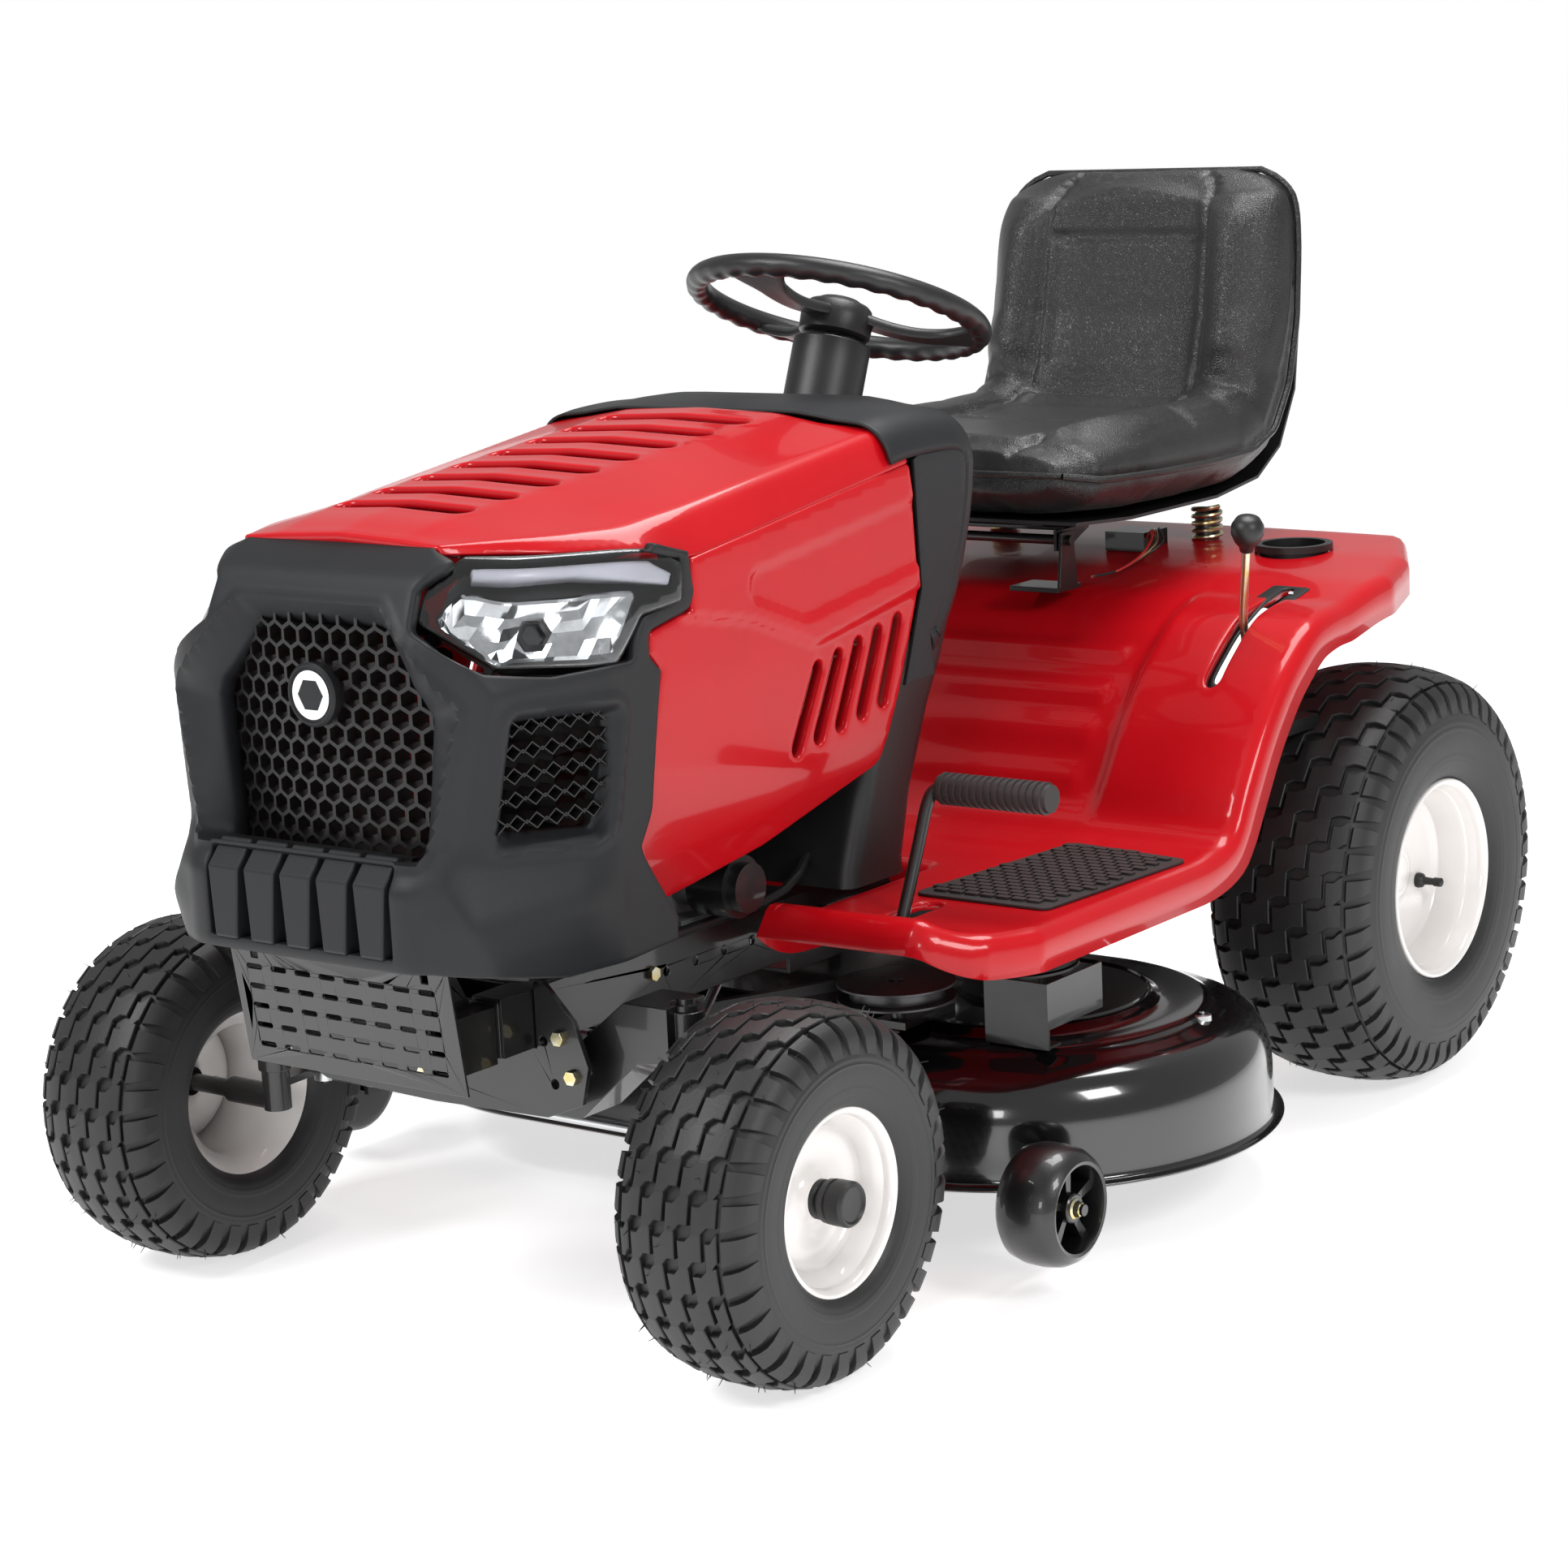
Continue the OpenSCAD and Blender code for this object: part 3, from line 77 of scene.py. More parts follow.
@dataclass(frozen=True)
class Finish:
    """A procedural material: a base colour that drifts, a roughness that drifts, and a fine grain."""

    slot: str
    colour: tuple[float, float, float]
    roughness: float
    metallic: float = 0.0
    coat: float = 0.0
    grain: Grain = Grain.ORANGE_PEEL
    grain_size: float = 0.002
    grain_depth: float = 0.1
    drift: float = 0.12
    drift_size: float = 0.08
    specular: float = 0.5
    sheen: float = 0.0
    transmission: float = 0.0
    tint: tuple[float, float, float] | None = None

    def material(self) -> bpy.types.Material:
        """Return the material, made on first use."""
        found = bpy.data.materials.get("finish_" + self.slot)
        return found or self._make()

    def _make(self) -> bpy.types.Material:
        """Build the node tree.

        Returns:
            The new material.
        """
        mat = bpy.data.materials.new("finish_" + self.slot)
        mat.use_nodes = True
        nodes, links = mat.node_tree.nodes, mat.node_tree.links
        shader = nodes["Principled BSDF"]
        shader.inputs["Metallic"].default_value = self.metallic
        shader.inputs["Coat Weight"].default_value = self.coat
        shader.inputs["Coat Roughness"].default_value = 0.06
        shader.inputs["Specular IOR Level"].default_value = self.specular
        shader.inputs["Sheen Weight"].default_value = self.sheen
        shader.inputs["Transmission Weight"].default_value = self.transmission
        place = nodes.new("ShaderNodeTexCoord").outputs["Object"]
        clouds = nodes.new("ShaderNodeTexNoise")
        clouds.inputs["Scale"].default_value = 1 / self.drift_size
        clouds.inputs["Detail"].default_value = 6
        links.new(place, clouds.inputs["Vector"])
        ramp = nodes.new("ShaderNodeValToRGB")
        other = self.tint or tuple(c * (1 - self.drift) for c in self.colour)
        ramp.color_ramp.elements[0].position = 0.35
        ramp.color_ramp.elements[1].position = 0.65
        ramp.color_ramp.elements[0].color = (*other, 1)
        ramp.color_ramp.elements[1].color = (*self.colour, 1)
        links.new(clouds.outputs["Fac"], ramp.inputs["Fac"])
        links.new(ramp.outputs["Color"], shader.inputs["Base Color"])
        wear = nodes.new("ShaderNodeMapRange")
        wear.inputs["To Min"].default_value = self.roughness * 0.85
        wear.inputs["To Max"].default_value = min(1.0, self.roughness * 1.15)
        links.new(clouds.outputs["Fac"], wear.inputs["Value"])
        links.new(wear.outputs["Result"], shader.inputs["Roughness"])
        if self.grain is not Grain.SMOOTH:
            bump = nodes.new("ShaderNodeBump")
            bump.inputs["Strength"].default_value = self.grain_depth
            bump.inputs["Distance"].default_value = 0.0006
            links.new(self._relief(nodes, links, place), bump.inputs["Height"])
            links.new(bump.outputs["Normal"], shader.inputs["Normal"])
        return mat

    def _relief(self, nodes: bpy.types.Nodes, links: bpy.types.NodeLinks,
                place: bpy.types.NodeSocket) -> bpy.types.NodeSocket:
        """Build the height texture of the grain.

        Args:
            nodes: Nodes of the material.
            links: Links of the material.
            place: Socket that gives the position on the object.

        Returns:
            Socket that gives the height.
        """
        scale = 1 / self.grain_size
        if self.grain is Grain.LEATHER:
            cells = nodes.new("ShaderNodeTexVoronoi")
            cells.feature = "DISTANCE_TO_EDGE"
            cells.inputs["Scale"].default_value = scale
            links.new(place, cells.inputs["Vector"])
            soft = nodes.new("ShaderNodeMapRange")
            soft.interpolation_type = "SMOOTHSTEP"
            soft.inputs["From Max"].default_value = 0.35
            links.new(cells.outputs["Distance"], soft.inputs["Value"])
            return soft.outputs["Result"]
        noise = nodes.new("ShaderNodeTexNoise")
        noise.inputs["Scale"].default_value = scale
        noise.inputs["Detail"].default_value = 8 if self.grain is Grain.CAST else 3
        if self.grain is Grain.BRUSHED:
            stretch = nodes.new("ShaderNodeMapping")
            stretch.inputs["Scale"].default_value = (0.06, 1, 1)
            links.new(place, stretch.inputs["Vector"])
            place = stretch.outputs["Vector"]
        links.new(place, noise.inputs["Vector"])
        return noise.outputs["Fac"]


RED = Finish("red_paint", (0.47, 0.0035, 0.0080), 0.30, coat=0.42, grain_size=0.004, grain_depth=0.05,
             drift=0.05, specular=0.12)
BLACK_PAINT = Finish("black_paint", (0.0042, 0.0042, 0.0046), 0.36, coat=0.5, grain_size=0.0012, grain_depth=0.35)
DECK_PAINT = Finish("deck_paint", (0.004, 0.004, 0.0045), 0.16, coat=1.0, grain_size=0.003, grain_depth=0.07)
GREY_PLASTIC = Finish("grey_plastic", (0.0165, 0.0172, 0.0188), 0.44, grain=Grain.PEBBLE, grain_size=0.0007,
                      grain_depth=0.35, drift=0.08, specular=0.24)
BLACK_PLASTIC = Finish("black_plastic", (0.008, 0.008, 0.0085), 0.4, grain=Grain.PEBBLE, grain_size=0.0009,
                       grain_depth=0.3)
GRIP = Finish("soft_grip", (0.010, 0.010, 0.011), 0.38, grain=Grain.PEBBLE, grain_size=0.0012, grain_depth=0.35)
PAD = Finish("pad_rubber", (0.022, 0.015, 0.015), 0.6, grain=Grain.PEBBLE, grain_size=0.001, grain_depth=0.4)
TYRE = Finish("tyre_rubber", (0.014, 0.014, 0.015), 0.5, grain=Grain.CAST, grain_size=0.004, grain_depth=0.3,
              drift=0.35, drift_size=0.05)
RIM = Finish("rim_paint", (0.80, 0.77, 0.75), 0.3, coat=0.8, grain_size=0.004, grain_depth=0.06, drift=0.04)
VINYL = Finish("seat_vinyl", (0.009, 0.009, 0.0095), 0.33, grain=Grain.LEATHER, grain_size=0.0022,
               grain_depth=0.45, drift=0.25, sheen=0.05)
LENS = Finish("lamp_clear", (0.93, 0.95, 0.97), 0.04, grain=Grain.SMOOTH, transmission=1.0, drift=0.01)
REFLECTOR = Finish("lamp_reflector", (0.9, 0.9, 0.9), 0.12, metallic=1.0, grain=Grain.SMOOTH, drift=0.15,
                   drift_size=0.012)
LIGHT_STRIP = Finish("lamp_strip", (0.82, 0.80, 0.88), 0.2, grain=Grain.SMOOTH, coat=0.5, drift=0.03)
ZINC = Finish("zinc", (0.62, 0.50, 0.20), 0.3, metallic=1.0, grain=Grain.CAST, grain_size=0.002,
              tint=(0.62, 0.62, 0.52), drift_size=0.01)
STEEL = Finish("bright_steel", (0.62, 0.63, 0.64), 0.28, metallic=1.0, grain=Grain.BRUSHED, grain_size=0.0015,
               grain_depth=0.2)
DARK_STEEL = Finish("dark_steel", (0.10, 0.10, 0.105), 0.38, metallic=0.8, grain=Grain.CAST, grain_size=0.003)
ALLOY = Finish("engine_alloy", (0.30, 0.31, 0.32), 0.5, metallic=0.7, grain=Grain.CAST, grain_size=0.003,
               grain_depth=0.4)
EXHAUST = Finish("exhaust_steel", (0.30, 0.27, 0.24), 0.5, metallic=0.9, grain=Grain.CAST, grain_size=0.004,
                 tint=(0.16, 0.12, 0.10))
TANK = Finish("tank_plastic", (0.62, 0.60, 0.52), 0.4, grain=Grain.PEBBLE)
BATTERY = Finish("battery_case", (0.02, 0.03, 0.04), 0.4, grain=Grain.PEBBLE)
WHITE_MARK = Finish("white_mark", (0.85, 0.85, 0.85), 0.35, grain=Grain.SMOOTH, drift=0.03)
WIRE_RED = Finish("wire_red", (0.5, 0.02, 0.02), 0.4, grain=Grain.PEBBLE)


# ---- mesh tools ----------------------------------------------------------------------------------------------


@dataclass
class Shop:
    """Turns lists of points and faces into finished pieces, and keeps the shift from datum to frame."""

    shift: Vector

    def place(self, name: str, points: Sequence[Point] | Array, faces: Sequence[Sequence[int]], finish: Finish,
              body: str, sharp: float = 38.0, bevel: float = 0.0, thickness: float = 0.0,
              replaces: Sequence[str] = (), merge: float = 0.0) -> bpy.types.Object:
        """Make one piece and hang it on its body.

        Args:
            name: Name of the piece.
            points: Vertices on the datum.
            faces: Vertex indices of each face.
            finish: Finish of the piece.
            body: CAD body that the piece moves with.
            sharp: Angle in degrees above which an edge stays sharp.
            bevel: Width of a rounded edge, 0 for none.
            thickness: Thickness added behind the surface, 0 for none.
            replaces: CAD nodes that the piece stands for.
            merge: Distance below which vertices are joined, 0 for none.

        Returns:
            The new object.
        """
        mesh = bpy.data.meshes.new(name)
        shifted = np.asarray(points, float) + np.array(self.shift)
        mesh.from_pydata([tuple(p) for p in shifted], [], [tuple(f) for f in faces])
        mesh.validate()
        if merge:
            edit = bmesh.new()
            edit.from_mesh(mesh)
            bmesh.ops.remove_doubles(edit, verts=edit.verts, dist=merge)
            bmesh.ops.recalc_face_normals(edit, faces=edit.faces)
            edit.to_mesh(mesh)
            edit.free()
        obj = bpy.data.objects.new(name, mesh)
        bpy.context.collection.objects.link(obj)
        mesh.materials.append(finish.material())
        mesh.shade_smooth()
        mesh.set_sharp_from_angle(angle=math.radians(sharp))
        if thickness:
            solid = obj.modifiers.new("sheet", "SOLIDIFY")
            solid.thickness = thickness
            solid.offset = -1
        if bevel:
            add_bevel(obj, bevel)
        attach(obj, body)
        if replaces:
            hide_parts(*replaces)
        return obj


def add_bevel(obj: bpy.types.Object, width: float, segments: int = 2, angle: float = 35.0) -> None:
    """Round the sharp edges of an object.

    Args:
        obj: Object to round.
        width: Width of the rounding.
        segments: Steps of the rounding.
        angle: Smallest angle in degrees between faces that are rounded.
    """
    bevel = obj.modifiers.new("round", "BEVEL")
    bevel.width = width
    bevel.segments = segments
    bevel.limit_method = "ANGLE"
    bevel.angle_limit = math.radians(angle)
    bevel.use_clamp_overlap = True
    bevel.harden_normals = True


def tidy_cad(node: str, finish: Finish, bevel: float = 0.0) -> None:
    """Give a CAD node its finish and, where asked, rounded edges.

    Args:
        node: Name of the CAD node.
        finish: Finish to give.
        bevel: Width of the rounded edges, 0 for none.
    """
    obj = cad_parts[node]
    obj.data.materials.clear()
    obj.data.materials.append(finish.material())
    custom = obj.data.attributes.get("custom_normal")
    if custom:
        obj.data.attributes.remove(custom)
    if bevel:
        obj.data.shade_smooth()
        weld = obj.modifiers.new("weld", "WELD")
        weld.merge_threshold = 1e-5
        add_bevel(obj, bevel)


def lerp_line(line: Sequence[Point], at: Array | float, key: int = 0, value: int = 1) -> Array:
    """Interpolate along a polyline that rises in its key coordinate.

    Args:
        line: Points of the polyline.
        at: Where to read.
        key: Index of the coordinate that `at` is measured in.
        value: Index of the coordinate that is returned.

    Returns:
        The value at each place.
    """
    return np.interp(at, [p[key] for p in line], [p[value] for p in line])


def smooth_line(line: Sequence[Point], at: Array | float, radius: float) -> Array:
    """Interpolate along a polyline with its corners rounded.

    Args:
        line: Points of the polyline, rising in their first coordinate.
        at: Where to read.
        radius: Half-width of the window that rounds the corners.

    Returns:
        The rounded value at each place.
    """
    window = np.linspace(-radius, radius, 9)
    return sum(lerp_line(line, np.asarray(at) + d) for d in window) / len(window)


def smoothstep(value: Array | float) -> Array:
    """Ease from 0 to 1."""
    t = np.clip(value, 0.0, 1.0)
    return t * t * (3 - 2 * t)


def rounded(points: Sequence[Point], radius: float, steps: int = 5) -> list[tuple[float, float]]:
    """Round the corners of a closed outline.

    Args:
        points: Corners, each [a, b] or [a, b, its own radius].
        radius: Radius of a corner without one of its own.
        steps: Arc steps at each corner.

    Returns:
        Points of the rounded outline.
    """
    out = []
    count = len(points)
    for i, p in enumerate(points):
        here = np.array(p[:2], float)
        before = np.array(points[i - 1][:2], float) - here
        after = np.array(points[(i + 1) % count][:2], float) - here
        lb, la = np.linalg.norm(before), np.linalg.norm(after)
        before, after = before / lb, after / la
        half = math.acos(max(-1.0, min(1.0, float(before @ after)))) / 2
        r = p[2] if len(p) > 2 else radius
        cut = min(r / max(math.tan(half), 1e-6), 0.48 * lb, 0.48 * la)
        if cut < 1e-6 or half > math.pi / 2 - 0.02:
            out.append(tuple(here))
            continue
        start, end = here + before * cut, here + after * cut
        for k in range(steps + 1):
            t = k / steps
            out.append(tuple((1 - t) ** 2 * start + 2 * t * (1 - t) * here + t * t * end))
    return out


def stadium(centre: Point, half_length: float, half_width: float, angle: float = 0.0,
            steps: int = 8) -> list[tuple[float, float]]:
    """Outline of a slot with round ends.

    Args:
        centre: Middle of the slot.
        half_length: Half the slot's length.
        half_width: Half the slot's width.
        angle: Turn of the slot's length from the first axis, in degrees.
        steps: Arc steps at each end.

    Returns:
        Points of the outline, anticlockwise.
    """
    turn = math.radians(angle)
    out = []
    for side in (1, -1):
        for k in range(steps + 1):
            a = -math.pi / 2 + math.pi * k / steps + (0 if side > 0 else math.pi)
            x = side * (half_length - half_width) + half_width * math.cos(a)
            y = half_width * math.sin(a)
            out.append((centre[0] + x * math.cos(turn) - y * math.sin(turn),
                        centre[1] + x * math.sin(turn) + y * math.cos(turn)))
    return out


def resampled(loop: Sequence[Point], spacing: float) -> Array:
    """Split the long sides of a closed outline.

    Args:
        loop: Points of the outline.
        spacing: Longest side that stays whole.

    Returns:
        The outline with points no further apart than the spacing.
    """
    pts = [np.array(p[:2], float) for p in loop]
    out = []
    for a, b in zip(pts, pts[1:] + pts[:1]):
        steps = max(1, math.ceil(np.linalg.norm(b - a) / spacing))
        out += [a + (b - a) * k / steps for k in range(steps)]
    return np.array(out)


def inset(loop: Array, distance: float) -> Array:
    """Move a closed anticlockwise outline inward.

    Args:
        loop: Points of the outline.
        distance: How far to move, negative for outward.

    Returns:
        The moved points.
    """
    ahead, behind = np.roll(loop, -1, 0) - loop, loop - np.roll(loop, 1, 0)
    normal = np.stack([-(ahead[:, 1]), ahead[:, 0]], 1) / np.linalg.norm(ahead, axis=1)[:, None]
    normal += np.stack([-(behind[:, 1]), behind[:, 0]], 1) / np.linalg.norm(behind, axis=1)[:, None]
    return loop + distance * normal / np.maximum(np.linalg.norm(normal, axis=1)[:, None], 1e-9)


def anticlockwise(loop: Array) -> Array:
    """Return the outline turned anticlockwise.

    Args:
        loop: Points of a closed outline.

    Returns:
        The outline, reversed if it ran clockwise.
    """
    x, y = loop[:, 0], loop[:, 1]
    area = np.sum(x * np.roll(y, -1) - np.roll(x, -1) * y)
    return loop if area > 0 else loop[::-1]


def inside(points: Array, loop: Array) -> Array:
    """Tell which points lie in a closed outline.

    Args:
        points: Points to test.
        loop: Points of the outline.

    Returns:
        True for each point inside.
    """
    out = np.zeros(len(points), bool)
    for a, b in zip(loop, np.roll(loop, -1, 0)):
        crosses = (a[1] > points[:, 1]) != (b[1] > points[:, 1])
        x = a[0] + (points[:, 1] - a[1]) / (b[1] - a[1] + 1e-15) * (b[0] - a[0])
        out ^= crosses & (points[:, 0] < x)
    return out


def distance_to(points: Array, loop: Array, closed: bool = True) -> Array:
    """Distance from each point to an outline.

    Args:
        points: Points to measure from.
        loop: Points of the outline.
        closed: Whether the last point joins the first.

    Returns:
        The distance of each point.
    """
    best = np.full(len(points), 1e9)
    ends = np.roll(loop, -1, 0) if closed else loop[1:]
    for a, b in zip(loop, ends):
        ab = b - a
        t = np.clip(((points - a) @ ab) / max(ab @ ab, 1e-15), 0, 1)
        best = np.minimum(best, np.linalg.norm(points - a - t[:, None] * ab, axis=1))
    return best


@dataclass
class Panel:
    """A pressed or moulded sheet cut out of a surface, with rolled edges and flanged openings."""

    outline: Sequence[Point]
    surface: Callable[[Array], Array]
    holes: Sequence[Sequence[Point]] = ()
    spacing: float = 0.008
    roll: float = 0.005
    lip: float = 0.008
    hole_roll: float = 0.003
    hole_lip: float = 0.004
    relief: Callable[[Array], Array] | None = None
    flip: bool = False

    def normals(self, points: Array) -> Array:
        """Unit normals of the surface at plan points.

        Args:
            points: Plan points on the surface.

        Returns:
            Unit normal at each point.
        """
        step = 5e-4
        a = self.surface(points + [step, 0]) - self.surface(points - [step, 0])
        b = self.surface(points + [0, step]) - self.surface(points - [0, step])
        n = np.cross(a, b)
        n /= np.maximum(np.linalg.norm(n, axis=1)[:, None], 1e-12)
        return -n if self.flip else n

    def build(self) -> Mesh:
        """Mesh the panel.

        Returns:
            Vertices and faces.
        """
        loops = [anticlockwise(resampled(h, self.spacing)) for h in (self.outline, *self.holes)]
        rolls = [self.roll] + [self.hole_roll] * len(self.holes)
        verts: list[Array] = []
        edges: list[tuple[int, int]] = []
        for i, (loop, r) in enumerate(zip(loops, rolls)):
            side = 1 if i == 0 else -1
            for share in (0.0, 0.12, 0.45, 1.0):
                first = sum(len(v) for v in verts)
                ring = inset(loop, side * share * r)
                verts.append(ring)
                if share in (0.0, 1.0):
                    edges += [(first + k, first + (k + 1) % len(ring)) for k in range(len(ring))]
        low, high = loops[0].min(0), loops[0].max(0)
        rows = np.arange(low[1], high[1], self.spacing * 0.87)
        cols = np.arange(low[0], high[0], self.spacing)
        fill = np.array([(x + (j % 2) * self.spacing / 2, y) for j, y in enumerate(rows) for x in cols])
        keep = inside(fill, loops[0]) & (distance_to(fill, loops[0]) > self.roll + self.spacing * 0.5)
        for loop in loops[1:]:
            keep &= ~inside(fill, loop) & (distance_to(fill, loop) > self.hole_roll + self.spacing * 0.4)
        verts.append(fill[keep])
        flat = np.concatenate(verts)
        made = delaunay_2d_cdt([Vector(p) for p in flat], edges, [], 0, 1e-7)
        plan = np.array([tuple(p) for p in made[0]])
        tris = np.array([tuple(f) for f in made[2]])
        middle = plan[tris].mean(1)
        good = inside(middle, loops[0])
        for loop in loops[1:]:
            good &= ~inside(middle, loop)
        tris = tris[good]
        drop = np.zeros(len(plan))
        for loop, r in zip(loops, rolls):
            if r > 0:
                d = np.clip(distance_to(plan, loop), 0, r)
                drop = np.maximum(drop, r - np.sqrt(np.maximum(r * r - (r - d) ** 2, 0)))
        normal = self.normals(plan)
        height = self.relief(plan) if self.relief else 0.0
        points = self.surface(plan) + normal * (height - drop)[:, None]
        return self._lips(plan, points, normal, [tuple(int(v) for v in t) for t in tris], loops[0])

    def _lips(self, plan: Array, points: Array, normal: Array, faces: list[tuple[int, ...]],
              outer: Array) -> Mesh:
        """Turn the free edges down.

        Args:
            plan: Plan place of each vertex.
            points: Vertices.
            normal: Surface normal at each vertex.
            faces: Faces of the sheet.
            outer: Outer outline.

        Returns:
            Vertices and faces with the turned edges added.
        """
        if self.flip:
            faces = [f[::-1] for f in faces]
        seen: dict[tuple[int, int], int] = {}
        for f in faces:
            for a, b in zip(f, f[1:] + f[:1]):
                seen[(a, b)] = seen.get((a, b), 0) + 1
        rim = [(a, b) for a, b in seen if (b, a) not in seen]
        used = sorted({v for e in rim for v in e})
        far = distance_to(plan[used], outer) > 1e-5
        depth = np.where(far, self.hole_lip, self.lip)
        new = points[used] - normal[used] * depth[:, None]
        index = {v: len(points) + i for i, v in enumerate(used)}
        faces = faces + [(b, a, index[a], index[b]) for a, b in rim]
        return np.concatenate([points, new]), faces


def bridged(rings: int, around: int, closed: bool = False) -> list[tuple[int, ...]]:
    """Join rings of points by four-sided faces.

    Args:
        rings: Number of rings.
        around: Points in each ring.
        closed: Whether the last ring joins the first.

    Returns:
        Faces, for points stored ring after ring.
    """
    faces = []
    for i in range(rings if closed else rings - 1):
        here, there = i * around, (i + 1) % rings * around
        faces += [(here + k, here + (k + 1) % around, there + (k + 1) % around, there + k) for k in range(around)]
    return faces


def ends(rings: int, around: int) -> list[tuple[int, ...]]:
    """Close the first and the last ring by one face each.

    Args:
        rings: Number of rings.
        around: Points in each ring.

    Returns:
        The two faces.
    """
    return [tuple(range(around))[::-1], tuple(range((rings - 1) * around, rings * around))]


def lathe(profile: Sequence[Point], steps: int = 64, closed: bool = False) -> Mesh:
    """Turn a profile round the X axis.

    Args:
        profile: Points as [x, radius].
        steps: Steps round the axis.
        closed: Whether the last point joins the first.

    Returns:
        Vertices and faces, on an axis through the origin.
    """
    a = np.linspace(0, TAU, steps, endpoint=False)
    verts = np.array([(x, r * math.cos(t), r * math.sin(t)) for x, r in profile for t in a])
    return verts, bridged(len(profile), steps, closed)


def tube(path: Sequence[Point], radius: float | Sequence[float], sides: int = 12,
         caps: bool = True) -> Mesh:
    """Sweep a round section along a path.

    Args:
        path: Points of the path.
        radius: Radius, or one for each point.
        sides: Sides of the section.
        caps: Whether the ends are closed.

    Returns:
        Vertices and faces.
    """
    pts = [Vector(p) for p in path]
    radii = [radius] * len(pts) if isinstance(radius, (int, float)) else list(radius)
    verts = []
    up = None
    for i, p in enumerate(pts):
        along = (pts[min(i + 1, len(pts) - 1)] - pts[max(i - 1, 0)]).normalized()
        if up is None:
            up = along.orthogonal().normalized()
        up = (up - along * up.dot(along)).normalized()
        side = along.cross(up)
        verts += [p + radii[i] * (math.cos(TAU * k / sides) * up + math.sin(TAU * k / sides) * side)
                  for k in range(sides)]
    faces = bridged(len(pts), sides)
    if caps:
        faces += ends(len(pts), sides)
    return np.array([tuple(v) for v in verts]), faces


def curved(points: Sequence[Point], per_span: int = 6) -> list[Vector]:
    """Smooth a path with Catmull-Rom spans.

    Args:
        points: Points that the path passes through.
        per_span: Points in each span.

    Returns:
        The smoothed path.
    """
    p = [Vector(q) for q in points]
    p = [2 * p[0] - p[1]] + p + [2 * p[-1] - p[-2]]
    out = []
    for i in range(1, len(p) - 2):
        for k in range(per_span):
            t = k / per_span
            out.append(0.5 * (2 * p[i] + (p[i + 1] - p[i - 1]) * t
                              + (2 * p[i - 1] - 5 * p[i] + 4 * p[i + 1] - p[i + 2]) * t * t
                              + (3 * p[i] - p[i - 1] - 3 * p[i + 1] + p[i + 2]) * t ** 3))
    return out + [p[-2]]


def joined(parts: Sequence[Mesh]) -> Mesh:
    """Join several meshes into one list of vertices and faces.

    Args:
        parts: Meshes to put together.

    Returns:
        Vertices and faces.
    """
    verts, faces, first = [], [], 0
    for v, f in parts:
        verts.append(np.asarray(v, float))
        faces += [tuple(i + first for i in face) for face in f]
        first += len(v)
    return np.concatenate(verts), faces


def moved(part: Mesh, offset: Point, turn: Matrix | None = None) -> Mesh:
    """Turn a mesh about the origin, then shift it.

    Args:
        part: Mesh to move.
        offset: Where its origin goes.
        turn: Rotation given first.

    Returns:
        Vertices and faces.
    """
    verts = np.asarray(part[0], float)
    if turn is not None:
        verts = verts @ np.array(turn.to_3x3()).T
    return verts + np.array(offset, float), part[1]


def mirrored(part: Mesh) -> Mesh:
    """Mirror a mesh across the middle plane."""
    return np.asarray(part[0]) * [-1, 1, 1], [f[::-1] for f in part[1]]


def slab(outline: Sequence[Point], low: float, high: float, axis: int = 2) -> Mesh:
    """Extrude a plan outline.

    Args:
        outline: Points of the outline in the two other axes, in axis order.
        low: Start of the extrusion.
        high: End of the extrusion.
        axis: Axis of the extrusion, 0 to 2.

    Returns:
        Vertices and faces.
    """
    n = len(outline)
    verts = []
    for level in (low, high):
        for a, b in outline:
            q = [a, b]
            q.insert(axis, level)
            verts.append(q)
    faces = [tuple(range(n))[::-1], tuple(range(n, 2 * n))]
    faces += [(k, (k + 1) % n, n + (k + 1) % n, n + k) for k in range(n)]
    return np.array(verts), faces


def bolt_head(at: Point, axis: Point, size: float) -> Mesh:
    """Flanged hexagon head.

    Args:
        at: Centre of the seat.
        axis: Direction the head stands in.
        size: Radius across the corners.

    Returns:
        Vertices and faces.
    """
    flange = lathe([(0, 0.0001), (0, 1.35 * size), (0.15 * size, 1.4 * size), (0.35 * size, 1.1 * size)], 24)
    hexagon = lathe([(0.25 * size, size), (1.0 * size, size), (1.15 * size, 0.8 * size), (1.15 * size, 0.0001)], 6)
    turn = Vector((1, 0, 0)).rotation_difference(Vector(axis)).to_matrix().to_4x4()
    return moved(joined([flange, hexagon]), at, turn)


# ---- wheels --------------------------------------------------------------------------------------------------


